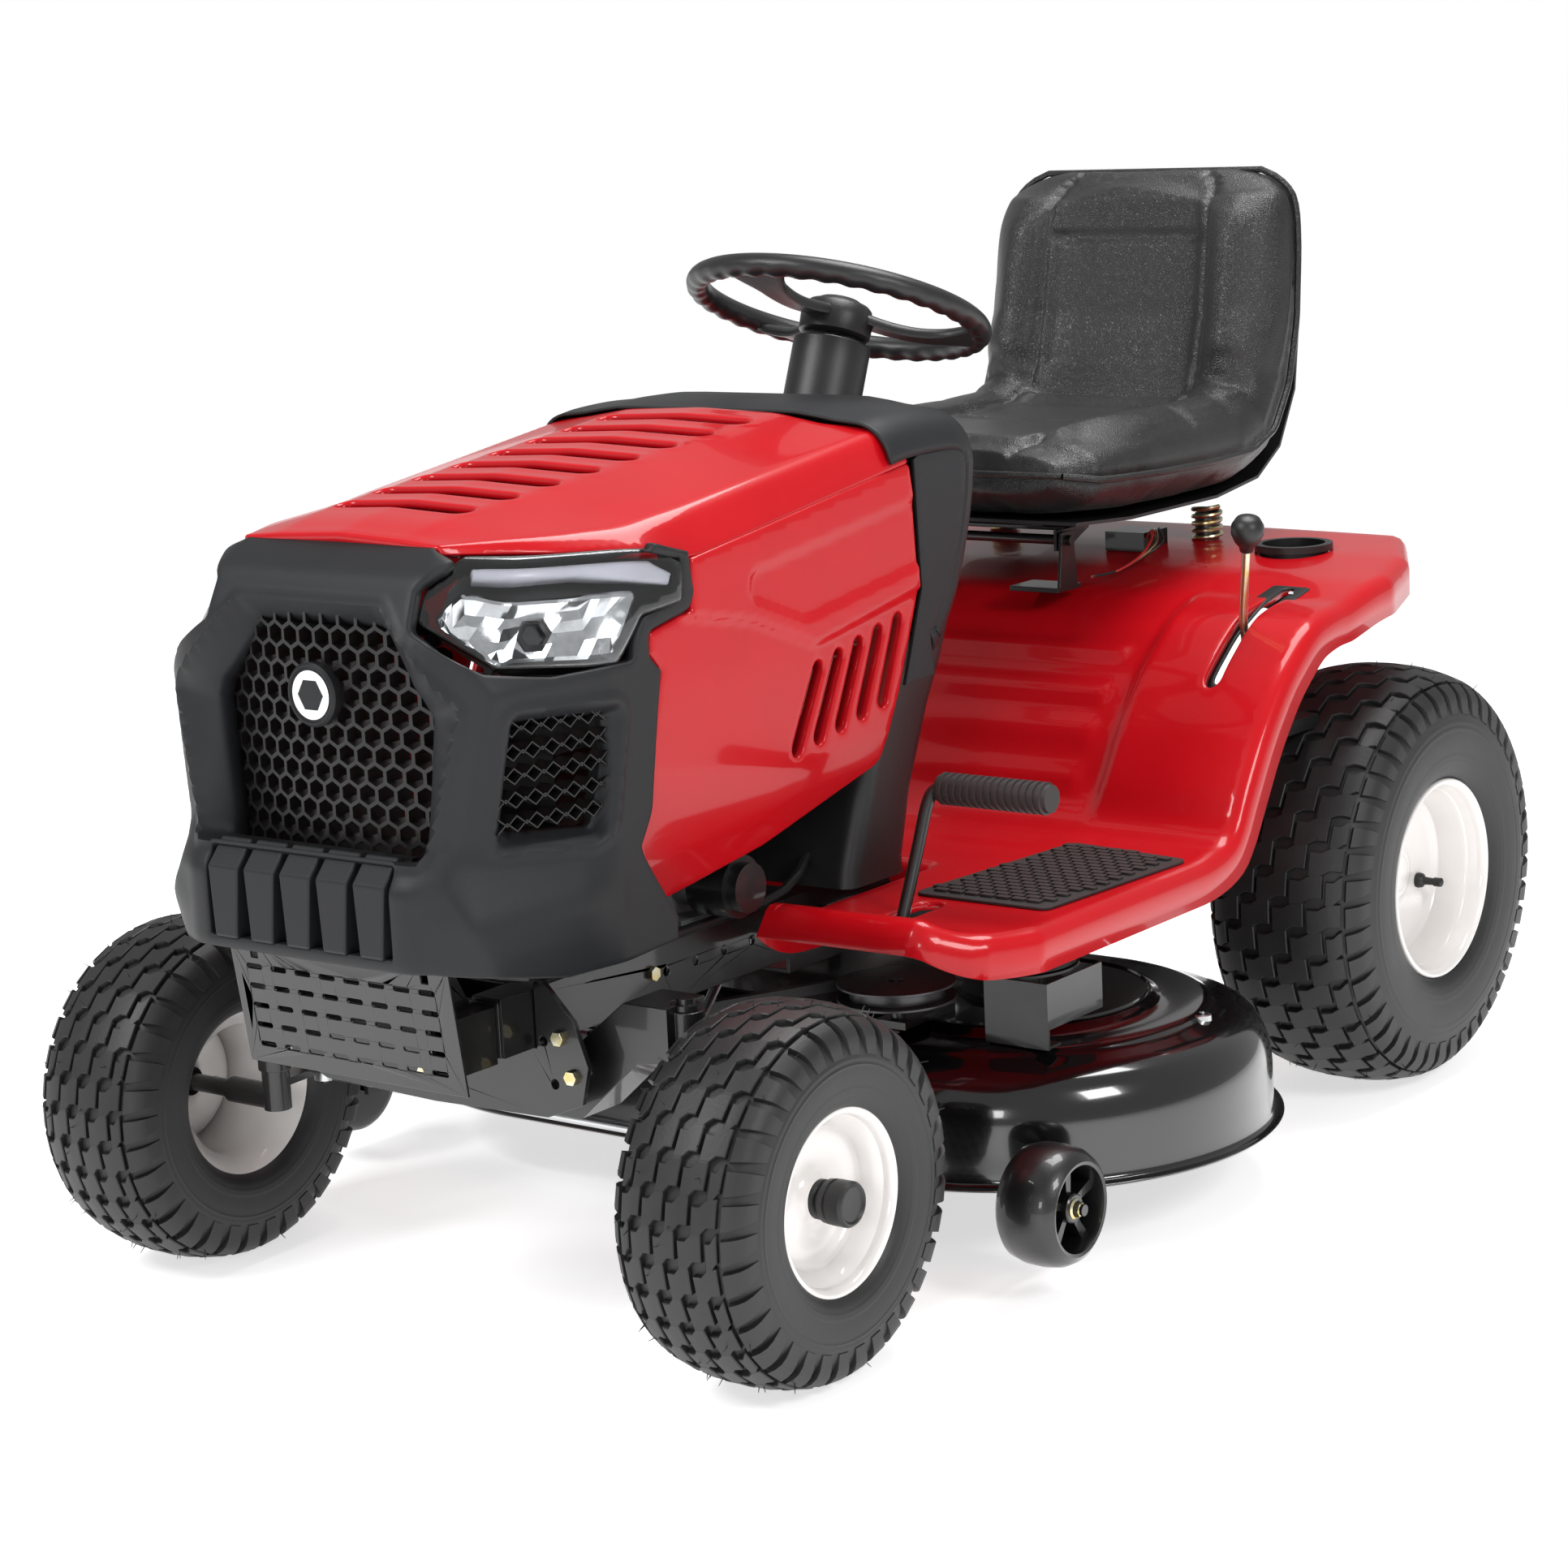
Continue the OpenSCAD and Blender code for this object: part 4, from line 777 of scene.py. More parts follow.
@dataclass
class Tyre:
    """Pneumatic tyre: a ringed carcass with staggered tread blocks, shoulder lugs and moulding hairs."""

    name: str
    body: str
    centre: tuple[float, float, float]
    radius: float
    width: float
    rim_radius: float
    rows: int
    columns: tuple[float, ...]
    zigzag: float
    tread: float = 0.0065
    gap: float = 0.0026
    row_gap: float = 0.0042
    lug: tuple[float, float] = (0.052, 0.088)
    hairs: int = 90

    def profile(self) -> Array:
        """Half-section of the carcass as [x, radius], from the inner bead to the outer bead.

        Returns:
            Points as [x, radius].
        """
        tall = self.radius - self.tread - self.rim_radius
        shares = [(0.74, -0.02), (0.86, 0.03), (0.95, 0.13), (0.99, 0.3), (1.0, 0.48), (0.965, 0.66), (0.88, 0.8),
                  (0.74, 0.9), (0.5, 0.962), (0.25, 0.992), (0.0, 1.0)]
        half = [(s * self.width / 2, self.rim_radius + h * tall) for s, h in shares]
        line = half + [(-x, r) for x, r in half[-2::-1]]
        path = curved([(x, r, 0) for x, r in line], 10)
        pts = np.array([(p.x, p.y) for p in path])
        for level in (0.2, 0.24, 0.5, 0.56):
            ring = self.rim_radius + level * tall
            near = np.exp(-((pts[:, 1] - ring) / 0.0011) ** 2)
            pts[:, 0] += np.sign(pts[:, 0]) * 0.0007 * near
        return pts[::-1]

    def build(self, shop: Shop) -> None:
        """Make the carcass with its tread.

        Args:
            shop: Maker of pieces.
        """
        line = self.profile()
        step = np.linalg.norm(np.diff(line, axis=0), axis=1)
        arc = np.concatenate([[0], np.cumsum(step)])
        arc -= arc[-1] / 2
        tangent = np.gradient(line, axis=0)
        tangent /= np.linalg.norm(tangent, axis=1)[:, None]
        normal = np.stack([-tangent[:, 1], tangent[:, 0]], 1)

        def at(v: float, turn: float, height: float) -> tuple[float, float, float]:
            """Point above the carcass at a place across it and a turn round it.

            Args:
                v: Place across the carcass, along its section.
                turn: Turn round the axle.
                height: Height above the carcass.

            Returns:
                The point, on an axle through the origin.
            """
            x = np.interp(v, arc, line[:, 0]) + height * np.interp(v, arc, normal[:, 0])
            r = np.interp(v, arc, line[:, 1]) + height * np.interp(v, arc, normal[:, 1])
            return (x, r * math.sin(turn), r * math.cos(turn))

        parts = [lathe([(x, r) for x, r in line], 128)]
        pitch = TAU / self.rows
        for row in range(self.rows):
            stagger = 0.5 if row % 2 else 0.0
            for low, high in zip(self.columns, self.columns[1:]):
                shift = stagger * (high - low)
                a, b = low + shift + self.gap / 2, high + shift - self.gap / 2
                b = min(b, self.columns[-1])
                if b - a > 0.006:
                    parts.append(self._block(at, a, b, row * pitch, pitch))
            if stagger:
                parts.append(self._block(at, self.columns[0], self.columns[0] + 0.5 * (
                    self.columns[1] - self.columns[0]) - self.gap / 2, row * pitch, pitch))
            for end in (-1, 1):
                parts.append(self._lug(at, end, row * pitch, pitch))
        rng = np.random.default_rng(7)
        for _ in range(self.hairs):
            v = rng.uniform(-1, 1) * self.columns[-1] * 1.2
            turn = rng.uniform(0, TAU)
            lean = rng.uniform(-0.02, 0.02)
            root = at(v, turn, self.tread * 0.8)
            tip = at(v + rng.uniform(-0.003, 0.003), turn + lean, self.tread + rng.uniform(0.003, 0.008))
            parts.append(tube([root, tip], [0.0006, 0.0003], 4))
        shop.place(self.name, *moved(joined(parts), self.centre), TYRE, self.body, sharp=32, replaces=[self.name])

    def _block(self, at: Callable[..., Point], a: float, b: float, start: float, pitch: float) -> Mesh:
        """Shape one zigzag tread block.

        Args:
            at: Maps width, turn and height to a point.
            a: Low side across the tread.
            b: High side across the tread.
            start: Turn at which the row starts.
            pitch: Turn between rows.

        Returns:
            Vertices and faces.
        """
        slack = self.row_gap / 2 / self.radius
        count = 7
        wave = self.columns[1] - self.columns[0]
        rings = []
        for height, shrink in ((-0.001, 0.0), (self.tread * 0.85, 0.0007), (self.tread, 0.0016)):
            ring = []
            for edge in (0, 1):
                places = np.linspace(a + shrink, b - shrink, count)
                for v in (places if edge == 0 else places[::-1]):
                    bend = self.zigzag * (smoothstep(((v - a) / max(b - a, wave * 0.6) - 0.3) / 0.4) - 0.5)
                    turn = start + bend + (slack + shrink / self.radius if edge == 0
                                           else pitch - slack - shrink / self.radius)
                    ring.append(at(v, turn, height))
            rings.append(ring)
        n = 2 * count
        top = [(2 * n + k, 2 * n + k + 1, 2 * n + n - 2 - k, 2 * n + n - 1 - k) for k in range(count - 1)]
        return np.array(sum(rings, [])), bridged(len(rings), n) + top

    def _lug(self, at: Callable[..., Point], end: int, start: float, pitch: float) -> Mesh:
        """Shape one wedge of the shoulder.

        Args:
            at: Maps width, turn and height to a point.
            end: -1 or 1 for the side of the tyre.
            start: Turn at which the row starts.
            pitch: Turn between rows.

        Returns:
            Vertices and faces.
        """
        near, far = self.columns[-1] + self.gap, self.lug[1]
        rings = []
        for height, shrink in ((-0.001, 0.0), (1.0, 0.001)):
            ring = []
            for edge in (0, 1):
                places = np.linspace(near, far, 6)
                for v in (places if edge == 0 else places[::-1]):
                    t = (v - near) / (far - near)
                    half = pitch * (0.40 - 0.10 * t) - shrink / self.radius
                    middle = start + pitch * (0.5 + 0.25 * t)
                    drop = self.tread * (1 - 0.85 * smoothstep((t - 0.3) / 0.7))
                    ring.append(at(end * v, middle + (-half if edge == 0 else half),
                                   -0.001 if height < 0 else drop))
            rings.append(ring)
        n = 12
        faces = bridged(2, n) + [(n + k, n + k + 1, n + n - 2 - k, n + n - 1 - k) for k in range(5)]
        verts = np.array(sum(rings, []))
        return (verts, faces) if end > 0 else (verts, [f[::-1] for f in faces])


@dataclass
class Rim:
    """Pressed steel rim with a dished disc, a rolled flange and a valve stem."""

    name: str
    body: str
    centre: tuple[float, float, float]
    side: int
    radius: float
    face: float
    well: float
    hub_radius: float
    hub_out: float
    cap: bool
    valve_radius: float

    def build(self, shop: Shop) -> None:
        """Make the rim, the valve and, where there is one, the hub cap.

        Args:
            shop: Maker of pieces.
        """
        r, f, w = self.radius, self.face, self.well
        outer = [(f - 0.004, r + 0.005), (f, r + 0.0045), (f + 0.0015, r + 0.002), (f, r - 0.001),
                 (f - 0.004, r - 0.0035), (f - 0.010, r - 0.005), (f - 0.019, r - 0.007), (f - 0.024, r - 0.010),
                 (w + 0.012, r - 0.016), (w + 0.004, r - 0.022), (w, r - 0.032), (w, self.hub_radius + 0.022),
                 (w + 0.003, self.hub_radius + 0.010), (self.hub_out - 0.003, self.hub_radius + 0.003),
                 (self.hub_out, self.hub_radius), (self.hub_out, 0.0001)]
        path = curved([(x, q, 0) for x, q in outer], 4)
        disc = lathe([(p.x, max(p.y, 0.0001)) for p in path], 96)
        barrel = lathe([(f - 0.01, r - 0.005), (w + 0.012, r - 0.018), (-f + 0.02, r - 0.016), (-f, r + 0.004)], 96)
        parts = [disc, barrel]
        if self.side < 0:
            parts = [mirrored(p) for p in parts]
        shop.place(self.name, *moved(joined(parts), self.centre), RIM, self.body, sharp=50, merge=1e-5,
                   replaces=[self.name])
        stem = lathe([(0, 0.0085), (0.004, 0.0095), (0.009, 0.0085), (0.012, 0.005), (0.024, 0.0042), (0.025, 0.0055),
                      (0.034, 0.0055), (0.0355, 0.0035), (0.0355, 0.0001)], 20)
        at = (w - 0.002, self.valve_radius * math.cos(0.35), -self.valve_radius * math.sin(0.35))
        stem = moved(stem, at)
        if self.side < 0:
            stem = mirrored(stem)
        shop.place(self.name + "_valve", *moved(stem, self.centre), BLACK_PLASTIC, self.body)
        if self.cap:
            o = self.hub_out
            cap = lathe([(o - 0.022, 0.016), (o - 0.004, 0.0165), (o - 0.002, 0.0195), (o + 0.004, 0.0195),
                         (o + 0.006, 0.0165), (o + 0.009, 0.0165), (o + 0.011, 0.0215), (o + 0.017, 0.0222),
                         (o + 0.018, 0.0205), (o + 0.020, 0.0205), (o + 0.021, 0.0225), (o + 0.036, 0.0225),
                         (o + 0.039, 0.0205), (o + 0.0395, 0.0185), (o + 0.0375, 0.0165), (o + 0.0370, 0.0001)], 40)
            if self.side < 0:
                cap = mirrored(cap)
            shop.place(self.name + "_cap", *moved(cap, self.centre), BLACK_PLASTIC, self.body, sharp=30)


@dataclass
class Wheels:
    """The four road wheels."""

    front_centre: tuple[float, float, float] = (0.394, 0.0, 0.187)
    rear_centre: tuple[float, float, float] = (0.396, 1.190, 0.252)

    def build(self, shop: Shop) -> None:
        """Make the tyres and rims.

        Args:
            shop: Maker of pieces.
        """
        front_columns = (-0.056, -0.028, 0.0, 0.028, 0.056)
        rear_columns = (-0.084, -0.042, 0.0, 0.042, 0.084)
        for side, word in ((1, "left"), (-1, "right")):
            front_body, rear_body = f"front_{word}_wheel", f"rear_{word}_wheel"
            front = (side * self.front_centre[0], *self.front_centre[1:])
            rear = (side * self.rear_centre[0], *self.rear_centre[1:])
            for piece in (
                    Tyre("front_tyre_" + word, front_body, front, 0.187, 0.157, 0.088, 34, front_columns, 0.052,
                         lug=(0.060, 0.094)),
                    Tyre("rear_tyre_" + word, rear_body, rear, 0.252, 0.207, 0.115, 46, rear_columns, 0.032,
                         lug=(0.088, 0.122), hairs=40),
                    Rim("front_rim_" + word, front_body, front, side, 0.088, 0.068, 0.030, 0.018, 0.043, True, 0.044),
                    Rim("rear_rim_" + word, rear_body, rear, side, 0.115, 0.093, 0.030, 0.020, 0.036, False, 0.060)):
                piece.build(shop)


# ---- hood ----------------------------------------------------------------------------------------------------


@dataclass
class Hood:
    """Red engine cover: a louvred top and two embossed side panels."""

    top_z: tuple = ((-0.14, 0.825), (-0.09, 0.838), (0.0, 0.8465), (0.43, 0.886), (0.5, 0.891))
    edge_x: tuple = ((-0.14, 0.080), (0.0, 0.092), (0.43, 0.102))
    s1_x: tuple = ((-0.14, 0.124), (-0.05, 0.178), (0.05, 0.205), (0.11, 0.215), (0.43, 0.222), (0.5, 0.224))
    s1_z: tuple = ((-0.14, 0.819), (-0.05, 0.817), (0.05, 0.815), (0.11, 0.822), (0.43, 0.862), (0.5, 0.869))
    s2_x: tuple = ((-0.14, 0.127), (-0.05, 0.189), (0.05, 0.227), (0.109, 0.2395), (0.48, 0.237))
    s2_z: tuple = ((-0.14, 0.811), (-0.05, 0.803), (0.05, 0.793), (0.109, 0.779), (0.48, 0.827))
    side_x: tuple = ((0.40, 0.228), (0.43, 0.233), (0.52, 0.240), (0.66, 0.2425), (0.78, 0.2415), (0.83, 0.237))
    side_outline: tuple = ((0.100, 0.779), (0.097, 0.728, 0.006), (0.034, 0.716, 0.006), (0.032, 0.695, 0.006),
                           (0.047, 0.678, 0.006), (0.0, 0.518, 0.01), (0.046, 0.434, 0.012), (0.222, 0.463, 0.05),
                           (0.409, 0.516, 0.03), (0.445, 0.588, 0.03), (0.486, 0.692, 0.02), (0.480, 0.828, 0.008))
    step_line: tuple = ((0.05, 0.731), (0.101, 0.721), (0.189, 0.704), (0.296, 0.662), (0.481, 0.692), (0.52, 0.70))
    pocket: tuple = ((0.193, 0.751), (0.191, 0.726), (0.282, 0.691), (0.500, 0.720), (0.500, 0.79))
    facet_line: tuple = ((-0.02, 0.60), (0.04, 0.581), (0.239, 0.546), (0.408, 0.548), (0.5, 0.55))
    lower_line: tuple = ((-0.02, 0.52), (0.002, 0.481), (0.23, 0.505), (0.5, 0.53))
    louvres: int = 8
    louvre_start: float = -0.045
    louvre_pitch: float = 0.0607
    louvre_half: tuple[float, float] = (0.0950, 0.0130)
    louvre_lip: float = 0.0012
    vents: int = 5

    def top_surface(self, plan: Array) -> Array:
        """Place points of the top panel.

        Args:
            plan: Points as [width coordinate, y].

        Returns:
            Points in space.
        """
        a, y = plan[:, 0], plan[:, 1]
        zc = smooth_line(self.top_z, y, 0.02)
        knots_x = [np.zeros_like(y), smooth_line(self.edge_x, y, 0.02), smooth_line(self.s1_x, y, 0.02),
                   smooth_line(self.s2_x, y, 0.015)]
        knots_z = [zc, zc - 0.004, smooth_line(self.s1_z, y, 0.02), smooth_line(self.s2_z, y, 0.015)]
        places = (0.0, 0.095, 0.205, 0.235)
        x, z = np.zeros_like(y), np.zeros_like(y)
        window = np.linspace(-0.007, 0.007, 7)
        for shift in window:
            t = np.abs(np.abs(a) + shift)
            for i in range(3):
                low, high = places[i], places[i + 1]
                last = i == 2
                share = np.clip((t - low) / (high - low), 0, 2 if last else 1)
                x += (knots_x[i + 1] - knots_x[i]) * share / len(window)
                z += (knots_z[i + 1] - knots_z[i]) * share / len(window)
        return np.stack([np.sign(a) * x, y, zc + z], 1)

    def side_surface(self, plan: Array) -> Array:
        """Place points of the left panel from [y, z]."""
        y, z = plan[:, 0], plan[:, 1]
        return np.stack([smooth_line(self.side_x, z, 0.015), y, z], 1)

    def side_relief(self, plan: Array) -> Array:
        """Height of the left panel's pressed shapes at [y, z].

        Args:
            plan: Points as [y, z].

        Returns:
            Height at each point.
        """
        y, z = plan[:, 0], plan[:, 1]
        below = smoothstep((smooth_line(self.step_line, y, 0.01) - z) / 0.007 + 0.5)
        pocket = np.array(rounded(self.pocket, 0.012))
        deep = np.where(inside(plan, pocket), 1, -1) * distance_to(plan, pocket)
        facet = np.maximum(0, smooth_line(self.facet_line, y, 0.01) - z)
        lower = np.maximum(0, smooth_line(self.lower_line, y, 0.01) - z)
        return -0.004 * below - 0.003 * smoothstep(deep / 0.006 + 0.5) - 0.10 * facet - 0.14 * lower

    def build(self, shop: Shop) -> None:
        """Make the top and side panels.

        Args:
            shop: Maker of pieces.
        """
        holes = self._louvres()
        front = [(-0.235, -0.1375), (-0.1, -0.139), (0.1, -0.139), (0.235, -0.1375)]
        outline = rounded(front + [(0.235, 0.481), (0.15, 0.4335, 0.03), (-0.15, 0.4335, 0.03), (-0.235, 0.481)],
                          0.004)
        top = Panel(outline, self.top_surface, holes, 0.0075, 0.0035, 0.009, 0.0050, 0.0035,
                    relief=self._louvre_lips)
        shop.place("hood_top", *top.build(), RED, "hood", thickness=0.0022, replaces=["hood"])
        vents = []
        for i in range(self.vents):
            t = i / (self.vents - 1)
            top_end = Vector((0.305 + 0.143 * t, 0.640 + 0.028 * t))
            low_end = Vector((0.261 + 0.152 * t, 0.555 + 0.025 * t))
            d = top_end - low_end
            mid = (top_end + low_end) / 2
            vents.append(stadium(mid, d.length / 2 + 0.004, 0.0088, math.degrees(math.atan2(d.y, d.x)), 6))
        panel = Panel(rounded(self.side_outline, 0.006), self.side_surface, vents, 0.0065, 0.004, 0.009, 0.0035,
                      0.011, relief=self.side_relief)
        made = panel.build()
        for part, word in ((made, "left"), (mirrored(made), "right")):
            shop.place("hood_side_" + word, *part, RED, "hood", thickness=0.0022)

    def _louvres(self) -> list[list[tuple[float, float]]]:
        """Outlines of the louvres in the top panel."""
        return [stadium((0, self.louvre_start + i * self.louvre_pitch), *self.louvre_half, steps=8)
                for i in range(self.louvres)]

    def _louvre_lips(self, plan: Array) -> Array:
        """Raise the metal round each louvre.

        Args:
            plan: Points of the top panel as [width coordinate, y].

        Returns:
            Height at each point.
        """
        height = np.zeros(len(plan))
        for loop in self._louvres():
            lip = self.louvre_lip * smoothstep(1 - distance_to(plan, np.array(loop)) / 0.012)
            height = np.maximum(height, lip)
        return height


# ---- bezel, grille and lamps ---------------------------------------------------------------------------------


@dataclass
class Bezel:
    """Dark front moulding with the grille opening, side openings, chin fins and lamp surrounds."""

    half: float = 0.242
    front: float = -0.206
    corner: tuple = ((0.40, 0.205), (0.44, 0.200), (0.505, 0.170), (0.60, 0.190), (0.688, 0.212), (0.715, 0.190),
                     (0.745, 0.140), (0.82, 0.128))
    lean_line: tuple = ((0.40, 0.004), (0.43, 0.0), (0.69, 0.0), (0.752, 0.014), (0.795, 0.034), (0.818, 0.068),
                        (0.83, 0.09))
    chin_line: tuple = ((0.39, 0.018), (0.425, 0.026), (0.505, 0.026), (0.545, 0.0), (0.9, 0.0))
    inner: tuple = ((-0.133, 0.540), (0.133, 0.540), (0.150, 0.662, 0.012), (0.080, 0.751), (-0.080, 0.751),
                    (-0.150, 0.662, 0.012))
    outer: tuple = ((-0.146, 0.530), (0.146, 0.530), (0.184, 0.674, 0.012), (0.094, 0.765), (-0.094, 0.765),
                    (-0.184, 0.674, 0.012))
    side_hole: tuple = ((-0.138, 0.652), (-0.148, 0.548), (-0.056, 0.540), (-0.030, 0.646))
    skirt_line: tuple = ((0.39, -0.004), (0.425, 0.004), (0.468, 0.014), (0.482, 0.013), (0.525, 0.0), (0.9, 0.0))
    fins: int = 5

    def corner_at(self, z: Array) -> tuple[Array, Array]:
        """Plan place of the corner ridge at a height."""
        x = smooth_line(self.corner, z, 0.006)
        return x, self.front_y(x, z)

    def front_y(self, x: Array, z: Array) -> Array:
        """Depth of the front face at a place."""
        chin = smooth_line(self.chin_line, z, 0.006) * smoothstep((0.235 - x) / 0.10)
        return self.front + 4.6 * np.maximum(0, x - 0.12) ** 2 + smooth_line(self.lean_line, z, 0.008) - chin

    def surface(self, plan: Array) -> Array:
        """Place points of the moulding.

        Args:
            plan: Points as [girth coordinate, z]; the girth coordinate is x as far as the corner ridge.

        Returns:
            Points in space.
        """
        total = np.zeros((len(plan), 3))
        window = np.linspace(-0.0022, 0.0022, 5)
        z = plan[:, 1]
        cx, cy = self.corner_at(z)
        for shift in window:
            g = np.abs(np.abs(plan[:, 0]) + shift)
            past = np.maximum(0, g - cx)
            run = np.maximum(-0.035 - cy, 0.02)
            x = np.where(past > 0, cx + (self.half - cx) * np.clip(past / run, 0, 1) ** 0.8, g)
            y = np.where(past > 0, cy + past, self.front_y(g, z))
            total += np.stack([x, y, z], 1) / len(window)
        total[:, 0] *= np.sign(plan[:, 0])
        skirt = smooth_line(self.skirt_line, z, 0.005) * smoothstep((np.abs(plan[:, 0]) - 0.150) / 0.05)
        skirt *= smoothstep((-0.01 - total[:, 1]) / 0.07)
        out = np.stack([np.sign(plan[:, 0]) * 0.75, np.full(len(z), -0.66)], 1)
        total[:, :2] += out * skirt[:, None]
        return total

    def girth(self, y: float, z: float) -> tuple[float, float]:
        """Girth coordinate of a place on the side face."""
        cx, cy = self.corner_at(np.array([z]))
        return float(cx[0] + y - cy[0]), z

    def relief(self, plan: Array) -> Array:
        """Depth of the chamfer round the openings.

        Args:
            plan: Plan points on the surface.

        Returns:
            Height at each point.
        """
        inner, outer = np.array(rounded(self.inner, 0.008)), np.array(rounded(self.outer, 0.010))
        near, far = distance_to(plan, inner), distance_to(plan, outer)
        framed = inside(plan, outer)
        dip = np.where(framed, -0.028 * far / np.maximum(near + far, 1e-6), 0.0)
        dip += np.where(framed, 0.0, 0.0042 * smoothstep(1.3 - far / 0.008))
        for sign in (1, -1):
            loop = np.array([(sign * g, z) for g, z in (self.girth(*p) for p in self.side_hole)])
            gap = distance_to(plan, loop)
            dip -= 0.015 * smoothstep(1 - gap / 0.011)
            dip += 0.0034 * np.exp(-((gap - 0.0165) / 0.0045) ** 2)
        return dip

    def build(self, shop: Shop) -> None:
        """Make the moulding, its fins and the meshes behind the openings.

        Args:
            shop: Maker of pieces.
        """
        half = [(0.0, 0.4245), (0.160, 0.4245, 0.004), (0.215, 0.4145, 0.02), self.girth(-0.10, 0.402),
                self.girth(-0.02, 0.4045), (*self.girth(0.050, 0.4085), 0.004), (*self.girth(0.052, 0.432), 0.004),
                self.girth(0.0015, 0.513), (*self.girth(0.0455, 0.678), 0.003), (*self.girth(0.029, 0.695), 0.004),
                (*self.girth(0.031, 0.718), 0.004), (*self.girth(0.094, 0.730), 0.006),
                (*self.girth(0.097, 0.787), 0.006), (*self.girth(0.046, 0.802), 0.004),
                (*self.girth(0.040, 0.794), 0.002), (*self.girth(0.084, 0.781), 0.003),
                (*self.girth(0.078, 0.744), 0.003), (*self.girth(0.022, 0.733), 0.004),
                (*self.girth(0.004, 0.694), 0.006), (*self.girth(-0.10, 0.695), 0.02), (0.206, 0.707, 0.012),
                (0.134, 0.746, 0.012), (0.131, 0.782, 0.006), (0.146, 0.806, 0.006), (0.122, 0.8195, 0.003),
                (0.0, 0.823)]
        outline = rounded(half + [(-p[0], *p[1:]) for p in reversed(half[1:-1])], 0.005)
        sides = [[(s * g, z) for g, z in (self.girth(*p[:2]) for p in rounded(self.side_hole, 0.010))]
                 for s in (1, -1)]
        window = rounded([(-0.121, 0.438), (0.121, 0.438), (0.121, 0.526), (-0.121, 0.526)], 0.003)
        panel = Panel(outline, self.surface, [rounded(self.inner, 0.008), *sides, window], 0.0055, 0.004, 0.008,
                      0.003, 0.014, relief=self.relief)
        shop.place("bezel_moulding", *panel.build(), GREY_PLASTIC, "hood", thickness=0.003,
                   replaces=["front_bezel"])
        self._fins(shop)
        self._meshes(shop)

    def _fins(self, shop: Shop) -> None:
        """Make the upright fins of the chin.

        Args:
            shop: Maker of pieces.
        """
        parts = []
        pitch = 0.2415 / self.fins
        for i in range(self.fins):
            x = -0.12075 + pitch * (i + 0.5)
            line = [(-0.200, 0.530), (-0.2095, 0.5335), (-0.2325, 0.508), (-0.2345, 0.438), (-0.226, 0.434),
                    (-0.200, 0.434)]
            ring = []
            for y, z in line:
                w = pitch / 2 - 0.0035 - 0.006 * smoothstep((0.50 - z) / 0.06)
                ring.append((w, y, z))
            verts = [(x + s * w, y, z) for s in (-1, 1) for w, y, z in ring]
            n = len(ring)
            faces = [tuple(range(n)), tuple(range(n, 2 * n))[::-1]]
            faces += [(k, n + k, n + (k + 1) % n, (k + 1) % n) for k in range(n)]
            parts.append((np.array(verts), faces))
        shop.place("bezel_fins", *joined(parts), GREY_PLASTIC, "hood", bevel=0.0025)
        back = Panel([(-0.123, 0.434), (0.123, 0.434), (0.123, 0.53), (-0.123, 0.53)],
                     lambda p: np.stack([p[:, 0], np.full(len(p), -0.197), p[:, 1]], 1), spacing=0.02, roll=0.0)
        shop.place("bezel_fin_back", *back.build(), BLACK_PLASTIC, "hood")

    def _cells(self, loop: Array, cell: float, to_space: Callable[[float, float, float], Point], depth: float,
               rib: float, squeeze: float = 1.0) -> Mesh:
        """Build a honeycomb of thin walls clipped to an outline.

        Args:
            loop: Outline in the plane of the mesh.
            cell: Radius of a cell.
            to_space: Maps a place in the plane and a depth to a point.
            depth: Depth of the walls.
            rib: Thickness of the walls at the front.
            squeeze: Height of a cell compared with its width.

        Returns:
            Vertices and faces.
        """
        low, high = loop.min(0), loop.max(0)
        parts = []
        dx, dz = cell * math.sqrt(3), cell * 1.5 * squeeze
        for row in range(int((high[1] - low[1]) / dz) + 3):
            for col in range(int((high[0] - low[0]) / dx) + 3):
                c = np.array([low[0] + dx * (col + (row % 2) / 2) - dx, low[1] + dz * row - dz / 2])
                rings = []
                for inner, back in ((0.0, 0.0), (rib, 0.0), (rib * 0.45, depth), (0.0, depth)):
                    ring = []
                    for k in range(6):
                        ang = math.pi / 6 + math.pi / 3 * k
                        q = c + (cell - inner) * np.array([math.cos(ang), squeeze * math.sin(ang)])
                        ring.append((q, back))
                    rings.append(ring)
                corners = np.array([q for q, _ in rings[0]])
                if not inside(corners, loop).any():
                    continue
                verts = [to_space(q[0], q[1], back) for ring in rings for q, back in ring]
                faces = [(i * 6 + k, i * 6 + (k + 1) % 6, (i + 1) * 6 + (k + 1) % 6, (i + 1) * 6 + k)
                         for i in range(2) for k in range(6)]
                parts.append((np.array(verts), faces))
        return joined(parts)

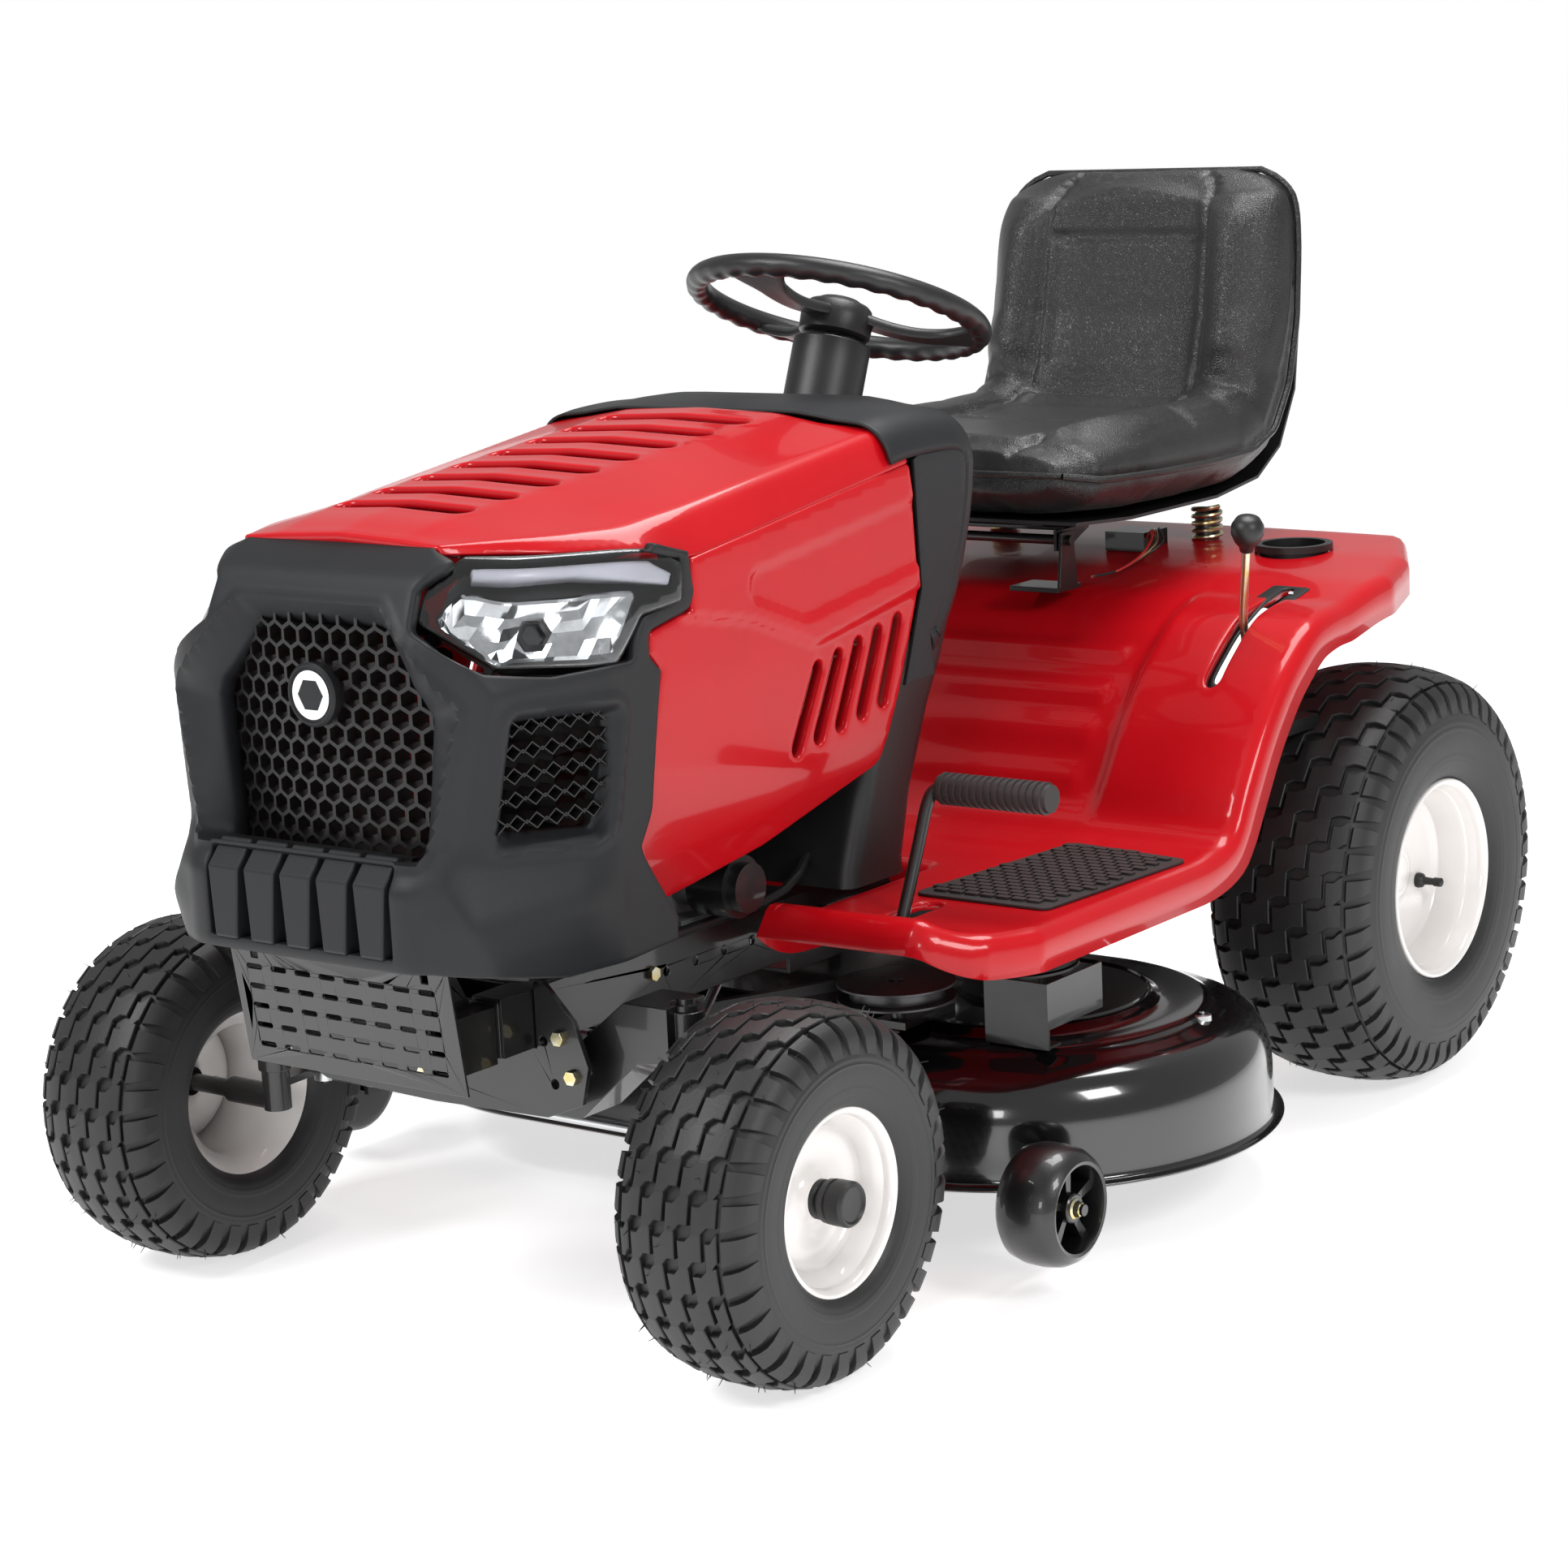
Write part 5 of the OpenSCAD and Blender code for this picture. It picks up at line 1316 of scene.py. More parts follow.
    def _meshes(self, shop: Shop) -> None:
        """Make the honeycomb behind the front opening, the badge, and the finned meshes at the sides.

        Args:
            shop: Maker of pieces.
        """
        loop = inset(anticlockwise(np.array(rounded(self.inner, 0.008))), -0.006)
        comb = self._cells(loop, 0.0125, lambda x, z, d: (x, -0.178 + d + 1.1 * x * x, z), 0.022, 0.0022)
        shop.place("grille_comb", *comb, BLACK_PLASTIC, "hood", replaces=["grille"])
        disc = lathe([(0, 0.0001), (0, 0.0285), (0.006, 0.0315), (0.014, 0.0315), (0.0165, 0.029), (0.0165, 0.0275),
                      (0.0145, 0.0262), (0.0150, 0.0001)], 64)
        turn = Matrix.Rotation(-math.pi / 2, 4, "Z")
        shop.place("badge_ring", *moved(disc, (0.0, -0.176, 0.677), turn), GREY_PLASTIC, "hood", sharp=30)
        face = lathe([(0, 0.0235), (0.0006, 0.0240), (0.0008, 0.0001)], 64)
        shop.place("badge_face", *moved(face, (0.0, -0.1908, 0.677), turn), WHITE_MARK, "hood", sharp=30)
        core = lathe([(0, 0.0165), (0.0008, 0.0165), (0.0010, 0.0001)], 6)
        shop.place("badge_core", *moved(core, (0.0, -0.1912, 0.677), turn), GREY_PLASTIC, "hood", sharp=30)
        parts = []
        for row in range(5):
            z = 0.556 + row * 0.0225
            line = []
            for k in range(13):
                y = -0.160 + 0.0105 * k
                line.append((y, z + (0.0045 if k % 2 else -0.0045)))
            for level in (0.0, 0.006):
                verts, faces = [], []
                for k, (y, zz) in enumerate(line):
                    lift = (0.0045 if k % 2 else -0.0045) * -2 if level else 0
                    x = 0.2035 + 0.30 * (y + 0.15) - 1.1 * max(0, y + 0.1) ** 2
                    verts += [(x, y, zz + level + lift), (x - 0.022, y + 0.004, zz + level + lift + 0.001),
                              (x, y, zz + level + lift + 0.0016)]
                for k in range(12):
                    a, b = 3 * k, 3 * k + 3
                    faces += [(a, b, b + 1, a + 1), (a + 2, a + 1, b + 1, b + 2), (a, a + 2, b + 2, b)]
                parts.append((np.array(verts), faces))
        fins = joined(parts)
        for part, word in ((fins, "left"), (mirrored(fins), "right")):
            shop.place("side_fins_" + word, *part, BLACK_PLASTIC, "hood")


@dataclass
class Headlamp:
    """Wrap-round lamp: clear lens, dark housing, chrome bowl, bulb mount and light strip."""

    low: tuple = ((0.0, 0.116, -0.198, 0.705), (0.33, 0.204, -0.156, 0.705), (0.7, 0.237, -0.04, 0.693),
                  (1.0, 0.2415, 0.092, 0.690))
    high: tuple = ((0.0, 0.124, -0.142, 0.812), (0.33, 0.180, -0.070, 0.805), (0.7, 0.224, 0.030, 0.800),
                   (1.0, 0.2405, 0.092, 0.790))
    long: float = 0.30
    tall: float = 0.10
    outline: tuple = ((0.034, 0.098), (0.004, 0.072), (0.006, 0.044), (0.100, 0.004), (0.226, 0.001),
                      (0.240, 0.040), (0.288, 0.048), (0.293, 0.086), (0.256, 0.099))

    def surface(self, depth: float = 0.0) -> Callable[[Array], Array]:
        """Return the surface of the lens, moved inward by a depth.

        Args:
            depth: Distance inward from the lens.

        Returns:
            A function from plan points to points in space.
        """

        def place(plan: Array) -> Array:
            """Place points of the lens.

            Args:
                plan: Points as [length, height] on the flattened lens.

            Returns:
                Points in space.
            """
            t, v = plan[:, 0] / self.long, plan[:, 1] / self.tall
            a = np.stack([sum(lerp_line(self.low, t + d, 0, k) for d in (-0.06, -0.02, 0.02, 0.06)) / 4
                          for k in (1, 2, 3)], 1)
            b = np.stack([sum(lerp_line(self.high, t + d, 0, k) for d in (-0.06, -0.02, 0.02, 0.06)) / 4
                          for k in (1, 2, 3)], 1)
            p = a + (b - a) * v[:, None]
            bulge = 0.007 * 4 * v * (1 - v) - depth
            out = np.stack([np.clip(0.25 + t, 0, 1), -np.clip(1.1 - t, 0.1, 1), np.full(len(t), 0.25)], 1)
            out /= np.linalg.norm(out, axis=1)[:, None]
            return p + out * bulge[:, None]

        return place

    def build(self, shop: Shop) -> None:
        """Make both lamps.

        Args:
            shop: Maker of pieces.
        """
        loop = rounded(self.outline, 0.006)
        lens = Panel(loop, self.surface(), spacing=0.007, roll=0.003, lip=0.006).build()
        shrunk = [tuple(p) for p in inset(anticlockwise(np.array(loop)), 0.0022)]
        rim_panel = Panel(loop, self.surface(0.001), [shrunk], 0.006, 0.001, 0.010, 0.001, 0.045).build()
        back = Panel(loop, self.surface(0.046), spacing=0.012, roll=0.0, lip=0.0).build()
        bowl_loop = rounded([(0.014, 0.046), (0.102, 0.008), (0.228, 0.006), (0.240, 0.064), (0.040, 0.070)], 0.010)
        bowl = Panel(bowl_loop, self.surface(0.014), spacing=0.011, roll=0.006, lip=0.010,
                     relief=self._bowl).build()
        strip_loop = rounded([(0.040, 0.089), (0.046, 0.079), (0.16, 0.079), (0.280, 0.066), (0.286, 0.078),
                              (0.25, 0.090)], 0.003)
        strip = Panel(strip_loop, self.surface(0.012), spacing=0.008, roll=0.004, lip=0.012).build()
        made = {"lens": (lens, LENS, 0.0016), "rim": (rim_panel, BLACK_PLASTIC, 0.0),
                "housing": (back, BLACK_PLASTIC, 0.002), "bowl": (bowl, REFLECTOR, 0.001),
                "strip": (strip, LIGHT_STRIP, 0.001)}
        mount = moved(lathe([(0, 0.0001), (0, 0.016), (0.020, 0.017), (0.022, 0.014), (0.018, 0.010),
                             (0.018, 0.0001)],
                            6), (0.196, -0.085, 0.732), Matrix.Rotation(math.radians(-58), 4, "Z"))
        made["mount"] = (mount, BLACK_PLASTIC, 0.0)
        for key, (part, finish, thick) in made.items():
            for each, word in ((part, "left"), (mirrored(part), "right")):
                shop.place("lamp_" + key + "_" + word, *each, finish, "hood", thickness=thick,
                           sharp=12 if key == "bowl" else 38, replaces=["headlamps"] if key == "lens" else ())

    def _bowl(self, plan: Array) -> Array:
        """Depth of the chrome bowl, stepped into facets.

        Args:
            plan: Points on the bowl.

        Returns:
            Height at each point.
        """
        u = np.round((plan[:, 0] - 0.12) / 0.014) * 0.014
        v = np.round((plan[:, 1] - 0.036) / 0.014) * 0.014
        return -0.026 * np.maximum(0, 1 - (u / 0.11) ** 2 - (v / 0.045) ** 2)


# ---- fender and running boards -------------------------------------------------------------------------------


@dataclass
class Fender:
    """Red one-piece fender and running boards with a rolled lip, rubber pads and the gear gate."""

    line: tuple = ((0.25, 0.412), (0.288, 0.379), (0.33, 0.375), (0.69, 0.375), (0.735, 0.383), (0.775, 0.409),
                   (0.828, 0.488), (0.875, 0.540), (0.93, 0.580), (0.996, 0.606), (1.08, 0.622), (1.20, 0.634),
                   (1.33, 0.638), (1.40, 0.622), (1.45, 0.585), (1.48, 0.535))
    half_plan: tuple = ((0.200, 0.258), (0.385, 0.258, 0.03), (0.440, 0.300, 0.03), (0.465, 0.356, 0.03),
                        (0.465, 1.12, 0.06), (0.440, 1.21, 0.05), (0.385, 1.31, 0.05), (0.340, 1.39, 0.04),
                        (0.310, 1.445, 0.03), (0.290, 1.466, 0.02))
    ribs: tuple = (0.789, 0.821, 0.855, 0.900)

    def surface(self, plan: Array) -> Array:
        """Place points of the top face from [x, y].

        Args:
            plan: Plan points on the surface.

        Returns:
            Points in space.
        """
        z = smooth_line(self.line, plan[:, 1], 0.016)
        z = z + 0.006 * (1 - (plan[:, 0] / 0.465) ** 2) * smoothstep((plan[:, 1] - 0.9) / 0.1)
        return np.stack([plan[:, 0], plan[:, 1], z], 1)

    def relief(self, plan: Array) -> Array:
        """Height of the ribs on the riser.

        Args:
            plan: Plan points on the surface.

        Returns:
            Height at each point.
        """
        x, y = np.abs(plan[:, 0]), plan[:, 1]
        span = smoothstep((0.243 - x) / 0.010)
        ribs = np.zeros(len(plan))
        for centre in self.ribs:
            ribs = np.maximum(ribs, smoothstep(1.7 - np.abs(y - centre) / 0.0062))
        arch = smoothstep((x - 0.262) / 0.022) * smoothstep((y - 0.74) / 0.05) * smoothstep((1.02 - y) / 0.08)
        return 0.0045 * span * ribs + 0.014 * arch

    def build(self, shop: Shop) -> None:
        """Make the fender, the pads and the gate plate.

        Args:
            shop: Maker of pieces.
        """
        half = [(0.191, 0.546, 0.004), (0.191, 0.262, 0.004), *self.half_plan[1:], (0.0, 1.472)]
        outline = rounded(half + [(-p[0], *p[1:]) for p in reversed(half[:-1])], 0.01)
        holes = [[(0.290 + 0.044 * math.cos(a), 1.2 + 0.044 * math.sin(a)) for a in np.linspace(0, TAU, 32, False)],
                 stadium((0.374, 0.955), 0.094, 0.010, 90), stadium((-0.385, 0.90), 0.108, 0.011, 90),
                 stadium((0.301, 0.345), 0.060, 0.016, 90)]
        panel = Panel(outline, self.surface, holes, 0.0085, 0.016, 0.030, 0.003, 0.006, relief=self.relief)
        shop.place("fender_shell", *panel.build(), RED, "chassis", thickness=0.0022, replaces=["fender"])
        self._pads(shop)
        gate = rounded([(0.348, 0.862), (0.398, 0.862), (0.398, 1.048), (0.348, 1.048)], 0.008)
        plate = Panel(gate, lambda p: self.surface(p) + [0, 0, 0.0012],
                      [stadium((0.374, 0.955), 0.086, 0.0075, 90)], 0.007, 0.001, 0.0015, 0.001, 0.002)
        shop.place("gate_plate", *plate.build(), BLACK_PLASTIC, "chassis", thickness=0.001)
        tray = slab([(0.352, 0.860), (0.400, 0.860), (0.400, 1.055), (0.352, 1.055)], 0.455, 0.470)
        shop.place("gate_tray", *tray, BLACK_PLASTIC, "chassis")
        marks = [self._letter(kind, 0.389, y) for kind, y in (("R", 0.885), ("N", 0.935), ("F", 1.02))]
        shop.place("gate_marks", *joined(marks), WHITE_MARK, "chassis")

    def _letter(self, kind: str, x: float, y: float) -> Mesh:
        """Draw one gear mark as thin strokes on the gate plate.

        Args:
            kind: Letter to draw.
            x: Place of its foot.
            y: Place of its foot.

        Returns:
            Vertices and faces.
        """
        strokes = {"R": [((0, 0), (0, 1)), ((0, 1), (1, 1)), ((1, 1), (1, 0.5)), ((1, 0.5), (0, 0.5)),
                         ((0.3, 0.5), (1, 0))],
                   "N": [((0, 0), (0, 1)), ((0, 1), (1, 0)), ((1, 0), (1, 1))],
                   "F": [((0, 0), (0, 1)), ((0, 1), (1, 1)), ((0, 0.5), (0.8, 0.5))]}[kind]
        parts = []
        for (a, b), (c, d) in strokes:
            ends = np.array([(x - 0.006 * b, y + 0.006 * a), (x - 0.006 * d, y + 0.006 * c)])
            top = self.surface(ends) + [0, 0, 0.0030]
            parts.append(tube(top, 0.0007, 6))
        return joined(parts)

    def _pads(self, shop: Shop) -> None:
        """Make the rubber pads with their brick tread.

        Args:
            shop: Maker of pieces.
        """
        outline = rounded([(0.262, 0.418), (0.430, 0.418), (0.446, 0.676), (0.286, 0.696)], 0.014)
        base = slab(outline, 0.3755, 0.3785)
        parts = [base]
        loop = np.array(outline)
        pitch_x, pitch_y = 0.0195, 0.0125
        for row in range(24):
            for col in range(12):
                c = (0.258 + pitch_x * (col + (row % 2) / 2), 0.424 + pitch_y * row)
                box_ = [(c[0] + sx * 0.0082, c[1] + sy * 0.0046) for sx, sy in ((-1, -1), (1, -1), (1, 1), (-1, 1))]
                if inside(np.array(box_), inset(anticlockwise(loop), 0.003)).all():
                    parts.append(slab(rounded(box_, 0.0012, 2), 0.378, 0.3815))
        pad = joined(parts)
        for part, word in ((pad, "left"), (mirrored(pad), "right")):
            shop.place("foot_pad_" + word, *part, PAD, "chassis", bevel=0.0006,
                       replaces=["foot_pads"] if word == "left" else ())


# ---- dash and pedestal ---------------------------------------------------------------------------------------


@dataclass
class Dash:
    """Moulded dash behind the hood, and the black pedestal that carries it."""

    half: float = 0.2405
    corner: float = 0.045
    crown: float = 0.010
    middle: tuple = ((0.4350, 0.884), (0.470, 0.888), (0.530, 0.889), (0.580, 0.884), (0.613, 0.866), (0.630, 0.838),
                     (0.634, 0.806), (0.622, 0.744), (0.592, 0.668), (0.552, 0.612), (0.530, 0.596))
    seam: tuple = ((0.452, 0.594), (0.489, 0.692), (0.4835, 0.828))

    def build(self, shop: Shop) -> None:
        """Make the dash, its side cheeks and the pedestal.

        Args:
            shop: Maker of pieces.
        """
        line = np.array([(p.x, p.y) for p in curved([(y, z, 0) for y, z in self.middle], 6)])
        along = np.gradient(line, axis=0)
        along /= np.linalg.norm(along, axis=1)[:, None]
        out = np.stack([-along[:, 1], along[:, 0]], 1)
        across = [(x, 0.0) for x in np.linspace(0, self.half - self.corner, 9)]
        across += [(self.half - self.corner * (1 - math.sin(a)), self.corner * (1 - math.cos(a)))
                   for a in np.linspace(0.12, math.pi / 2, 9)]
        across = [(x, d + self.crown * float(smoothstep((x - 0.11) / 0.09))) for x, d in across]
        full = [(-x, d) for x, d in reversed(across[1:])] + across
        verts = [(x, *(line[i] - out[i] * d)) for i in range(len(line)) for x, d in full]
        n = len(full)
        faces = [(i * n + k, i * n + k + 1, (i + 1) * n + k + 1, (i + 1) * n + k)
                 for i in range(len(line) - 1) for k in range(n - 1)]
        inner = line - out * (self.corner + self.crown)
        rear = [tuple(q) for q in inner if q[1] < 0.834 and q[1] > 0.600 and q[0] > 0.49]
        rear = sorted(rear, key=lambda q: -q[1])
        cheek = [(0.4835, 0.830), *rear, (0.506, 0.597), *self.seam[:2]]
        side = Panel(cheek, lambda q: np.stack([np.full(len(q), self.half), q[:, 0], q[:, 1]], 1),
                     spacing=0.009, roll=0.0008, lip=0.004).build()
        parts = [(np.array(verts), faces), side, mirrored(side)]
        shop.place("dash_moulding", *joined(parts), GREY_PLASTIC, "chassis", thickness=0.003,
                   replaces=["dash_panel"])
        self._pedestal(shop)

    def _pedestal(self, shop: Shop) -> None:
        """Make the pedestal between the dash and the floor.

        Args:
            shop: Maker of pieces.
        """
        levels = ((0.380, 0.388, 0.498, 0.202), (0.398, 0.392, 0.500, 0.200), (0.470, 0.420, 0.520, 0.200),
                  (0.560, 0.444, 0.552, 0.206), (0.604, 0.458, 0.566, 0.214), (0.640, 0.474, 0.580, 0.216))
        rings = []
        for z, front, back, half in levels:
            loop = rounded([(-half, front), (half, front), (half, back), (-half, back)], 0.022, 6)
            rings.append([(x, y, z) for x, y in loop])
        shop.place("pedestal_cover", np.array(sum(rings, [])), bridged(len(rings), len(rings[0])),
                   BLACK_PLASTIC, "chassis", replaces=["dash_pedestal"])


# ---- cutting deck --------------------------------------------------------------------------------------------


@dataclass
class Deck:
    """Pressed deck with its raised crown, rolled rim and discharge opening, and the gauge wheels."""

    centre: tuple[float, float] = (0.255, 0.620)
    profile: tuple = ((0.0, 0.222), (0.135, 0.222), (0.146, 0.2213), (0.155, 0.2160), (0.166, 0.2126),
                      (0.200, 0.2122), (0.211, 0.2108), (0.219, 0.2062), (0.230, 0.2032), (0.247, 0.1985), (0.262, 0.189),
                      (0.273, 0.172), (0.279, 0.150), (0.2805, 0.120), (0.281, 0.094), (0.2835, 0.0865),
                      (0.2905, 0.0842), (0.2920, 0.0835))
    chute_half: float = 0.150
    chute_top: float = 0.172

    def build(self, shop: Shop) -> None:
        """Make the shell and the gauge wheels.

        Args:
            shop: Maker of pieces.
        """
        line = [(p.x, p.y) for p in curved([(r, z, 0) for r, z in self.profile], 4)]
        around = []
        for sign in (1, -1):
            for k in range(73):
                a = -math.pi / 2 + math.pi * k / 72 + (0 if sign > 0 else math.pi)
                around.append((sign, a))
            around += [(sign * (1 - 2 * t / 12), math.pi / 2 * sign) for t in range(1, 12)]
        verts = [(s * self.centre[0] + r * math.cos(a), self.centre[1] + r * math.sin(a), z)
                 for r, z in line for s, a in around]
        n = len(around)
        faces = []
        for i in range(len(line) - 1):
            for k in range(n):
                f = (i * n + k, i * n + (k + 1) % n, (i + 1) * n + (k + 1) % n, (i + 1) * n + k)
                mid = np.mean([verts[v] for v in f], axis=0)
                open_ = mid[0] < -0.445 and abs(mid[1] - self.centre[1]) < self.chute_half and mid[2] < self.chute_top
                if not open_:
                    faces.append(f[::-1])
        half = self.chute_half + 0.008
        lid = slab([(-0.565, 0.62 - half), (-0.475, 0.62 - half), (-0.475, 0.62 + half), (-0.565, 0.62 + half)],
                   self.chute_top, self.chute_top + 0.003)
        shop.place("deck_pressing", np.array(verts), faces, DECK_PAINT, "deck", thickness=0.003, merge=1e-5,
                   replaces=["deck_shell"])
        shop.place("chute_lid", *lid, DECK_PAINT, "deck", bevel=0.001)
        port = moved(lathe([(0, 0.018), (0.004, 0.017), (0.005, 0.012), (0.014, 0.011), (0.015, 0.0085),
                            (0.006, 0.008), (0.006, 0.0001)], 24), (0.466, 0.662, 0.196),
                     Matrix.Rotation(-math.pi / 2, 4, "Y"))
        shop.place("wash_port", *port, STEEL, "deck")
        for side, word in ((1, "left"), (-1, "right")):
            self._gauge(shop, side, word)

    def _gauge(self, shop: Shop, side: int, word: str) -> None:
        """Make one barrel-shaped gauge wheel with its spokes and bolt.

        Args:
            shop: Maker of pieces.
            side: 1 for left, -1 for right.
            word: Name of the side.
        """
        tread = lathe([(-0.034, 0.012), (-0.035, 0.046), (-0.034, 0.053), (-0.028, 0.0592), (-0.014, 0.0630),
                       (0.004, 0.0635), (0.020, 0.0610), (0.030, 0.0555), (0.0345, 0.0490), (0.0335, 0.0455),
                       (0.028, 0.0440), (-0.010, 0.0430), (-0.012, 0.0001)], 64)
        hub = lathe([(-0.012, 0.017), (0.026, 0.0155), (0.0275, 0.0140), (0.0275, 0.0001)], 32)
        parts = [tread, hub]
        for k in range(5):
            spoke = slab([(0.012, -0.0035), (0.044, -0.0055), (0.044, 0.0055), (0.012, 0.0035)], -0.011, 0.020)
            verts = np.stack([spoke[0][:, 2], spoke[0][:, 1], spoke[0][:, 0]], 1)
            parts.append(moved((verts, spoke[1]), (0, 0, 0), Matrix.Rotation(TAU * k / 5, 4, "X")))
        bolt = bolt_head((0.027, 0, 0), (1, 0, 0), 0.0078)
        whole, fixing = joined(parts), bolt
        if side < 0:
            whole, fixing = mirrored(whole), mirrored(fixing)
        at = (side * 0.495, 0.312, 0.100)
        body = word + "_gauge_wheel"
        shop.place("gauge_tread_" + word, *moved(whole, at), BLACK_PAINT, body, replaces=["gauge_wheel_" + word])
        shop.place("gauge_bolt_" + word, *moved(fixing, at), ZINC, body, sharp=20)


# ---- seat ----------------------------------------------------------------------------------------------------


@dataclass
class Seat:
    """High-back vinyl seat: padded shell with bolsters, piped seams and two coil springs below it."""

    half: float = 0.225
    path: tuple = ((0.862, 0.768), (0.90, 0.760), (1.00, 0.757), (1.12, 0.755), (1.22, 0.757), (1.285, 0.775),
                   (1.325, 0.825), (1.346, 0.90), (1.359, 0.985), (1.367, 1.050), (1.372, 1.090))
    thick: tuple = (0.026, 0.042, 0.046, 0.046, 0.046, 0.050, 0.052, 0.050, 0.048, 0.043, 0.018)
    widths: tuple = (0.170, 0.210, 0.223, 0.225, 0.223, 0.216, 0.214, 0.215, 0.212, 0.207, 0.202)
    crown_start: float = 0.84
    push: float = 4.0
    bolster: float = 0.56
    channels: tuple[float, ...] = (0.27, 0.475, 0.535, 0.82)

    def _frame_at(self, s: float) -> tuple[Array, Array, float, float]:
        """Centre, outward direction, half-thickness and half-width at a share of the path.

        Args:
            s: Share of the path, 0 at the front edge.

        Returns:
            Centre, outward direction, half-thickness and half-width.
        """
        k = s * (len(self.path) - 1)
        pts = np.array(self.path)
        here = np.array([np.interp(k, range(len(pts)), pts[:, i]) for i in (0, 1)])
        ahead = np.array([np.interp(min(k + 0.5, len(pts) - 1), range(len(pts)), pts[:, i]) for i in (0, 1)])
        behind = np.array([np.interp(max(k - 0.5, 0), range(len(pts)), pts[:, i]) for i in (0, 1)])
        along = (ahead - behind) / np.linalg.norm(ahead - behind)
        end = 0.97 * max(0.0, s - self.crown_start) / (1 - self.crown_start)
        corner = 0.45 + 0.55 * (1 - end ** 2.4) ** (1 / 2.4)
        return (here, np.array([-along[1], along[0]]), float(np.interp(k, range(len(pts)), self.thick)),
                corner * float(np.interp(k, range(len(pts)), self.widths)))

    def _loft(self) -> Mesh:
        """Make the closed padded shape.

        Returns:
            Vertices and faces.
        """
        verts = []
        stations, around = 60, 56
        for i in range(stations + 1):
            here, out, thick, wide = self._frame_at(i / stations)
            back = smoothstep((i / stations - 0.52) / 0.12)
            for k in range(around):
                a = TAU * k / around
                c, s = math.cos(a), math.sin(a)
                u = math.copysign(abs(c) ** 0.5, c)
                v = math.copysign(abs(s) ** 0.72, s)
                h = v * thick
                if v > 0:
                    side = smoothstep((abs(u) - 0.42) / 0.34)
                    share = i / stations
                    fade = smoothstep((0.985 - share) / 0.16) * smoothstep((share - 0.03) / 0.16)
                    h += v * fade * (side * (0.018 + 0.022 * back) - (1 - side) * 0.008)
                verts.append((u * wide, here[0] + out[0] * h, here[1] + out[1] * h))
        return np.array(verts), bridged(stations + 1, around) + ends(stations + 1, around)

    def build(self, shop: Shop) -> None:
        """Make the cushion, let it puff up, and press its seams.

        Args:
            shop: Maker of pieces.
        """
        obj = shop.place("seat_padding", *self._loft(), VINYL, "seat", replaces=["seat_cushion"])
        view = bpy.context.view_layer
        remesh = obj.modifiers.new("remesh", "REMESH")
        remesh.mode = "VOXEL"
        remesh.voxel_size = 0.0062
        self._apply(obj, view)
        start = self._points(obj)
        self._puff(obj, view)
        points = self._points(obj)
        moved_by = points - start
        length = np.linalg.norm(moved_by, axis=1)
        points = start + moved_by * (np.minimum(length, 0.007) / np.maximum(length, 1e-9))[:, None]
        points = self._seams(points, np.array(shop.shift))
        obj.data.vertices.foreach_set("co", points.astype(np.float32).ravel())
        sub = obj.modifiers.new("fine", "SUBSURF")
        sub.levels = sub.render_levels = 1
        self._apply(obj, view)
        obj.data.shade_smooth()
        self._piping(shop)

    def _apply(self, obj: bpy.types.Object, view: bpy.types.ViewLayer) -> None:
        """Replace the mesh by what its modifiers make of it.

        Args:
            obj: Object to change.
            view: View layer it is in.
        """
        view.update()
        shape = bpy.data.meshes.new_from_object(obj.evaluated_get(bpy.context.evaluated_depsgraph_get()))
        obj.modifiers.clear()
        obj.data = shape
        if not shape.materials:
            shape.materials.append(VINYL.material())

    def _points(self, obj: bpy.types.Object) -> Array:
        """Vertices of an object as an array.

        Args:
            obj: Object to read.

        Returns:
            One row for each vertex.
        """
        flat = np.empty(len(obj.data.vertices) * 3, np.float32)
        obj.data.vertices.foreach_get("co", flat)
        return flat.reshape(-1, 3).astype(float)

    def _puff(self, obj: bpy.types.Object, view: bpy.types.ViewLayer) -> None:
        """Blow the cushion up a little as cloth under pressure.

        Args:
            obj: Cushion to blow up.
            view: View layer it is in.
        """
        cloth = obj.modifiers.new("puff", "CLOTH")
        s = cloth.settings
        s.use_pressure = True
        s.uniform_pressure_force = self.push
        s.effector_weights.gravity = 0
        s.tension_stiffness = s.compression_stiffness = 40
        s.bending_stiffness = 3
        s.quality = 6
        scene = bpy.context.scene
        for f in range(1, 21):
            scene.frame_set(f)
        self._apply(obj, view)
        scene.frame_set(1)

    def _seams(self, points: Array, shift: Array) -> Array:
        """Press the seam lines into the cushion.

        Args:
            points: Vertices in the frame.
            shift: Shift from datum to frame.

        Returns:
            The pressed vertices.
        """
        p = points - shift
        path = np.array([self._frame_at(s)[0] for s in np.linspace(0, 1, 41)])
        outs = np.array([self._frame_at(s)[1] for s in np.linspace(0, 1, 41)])
        wides = np.array([self._frame_at(s)[3] for s in np.linspace(0, 1, 41)])
        near = np.argmin(np.linalg.norm(p[:, None, 1:] - path[None], axis=2), axis=1)
        out = outs[near]
        lift = np.sum((p[:, 1:] - path[near]) * out, axis=1)
        share = np.abs(p[:, 0]) / wides[near]
        where = near / 40
        depth = 0.0075 * np.exp(-(((share - self.bolster) * wides[near]) / 0.0055) ** 2)
        for seam in self.channels:
            across = np.exp(-((where - seam) * 0.72 / 0.0065) ** 2) * (share < 0.57)
            depth = np.maximum(depth, (0.012 if seam == 0.535 else 0.005) * across)
        edge = 0.004 * np.exp(-(lift / 0.005) ** 2) * smoothstep((share - 0.9) / 0.1)
        press = np.where(lift > 0.004, depth, 0)
        p[:, 1:] -= out * press[:, None]
        p[:, 0] -= np.sign(p[:, 0]) * edge
        return p + shift

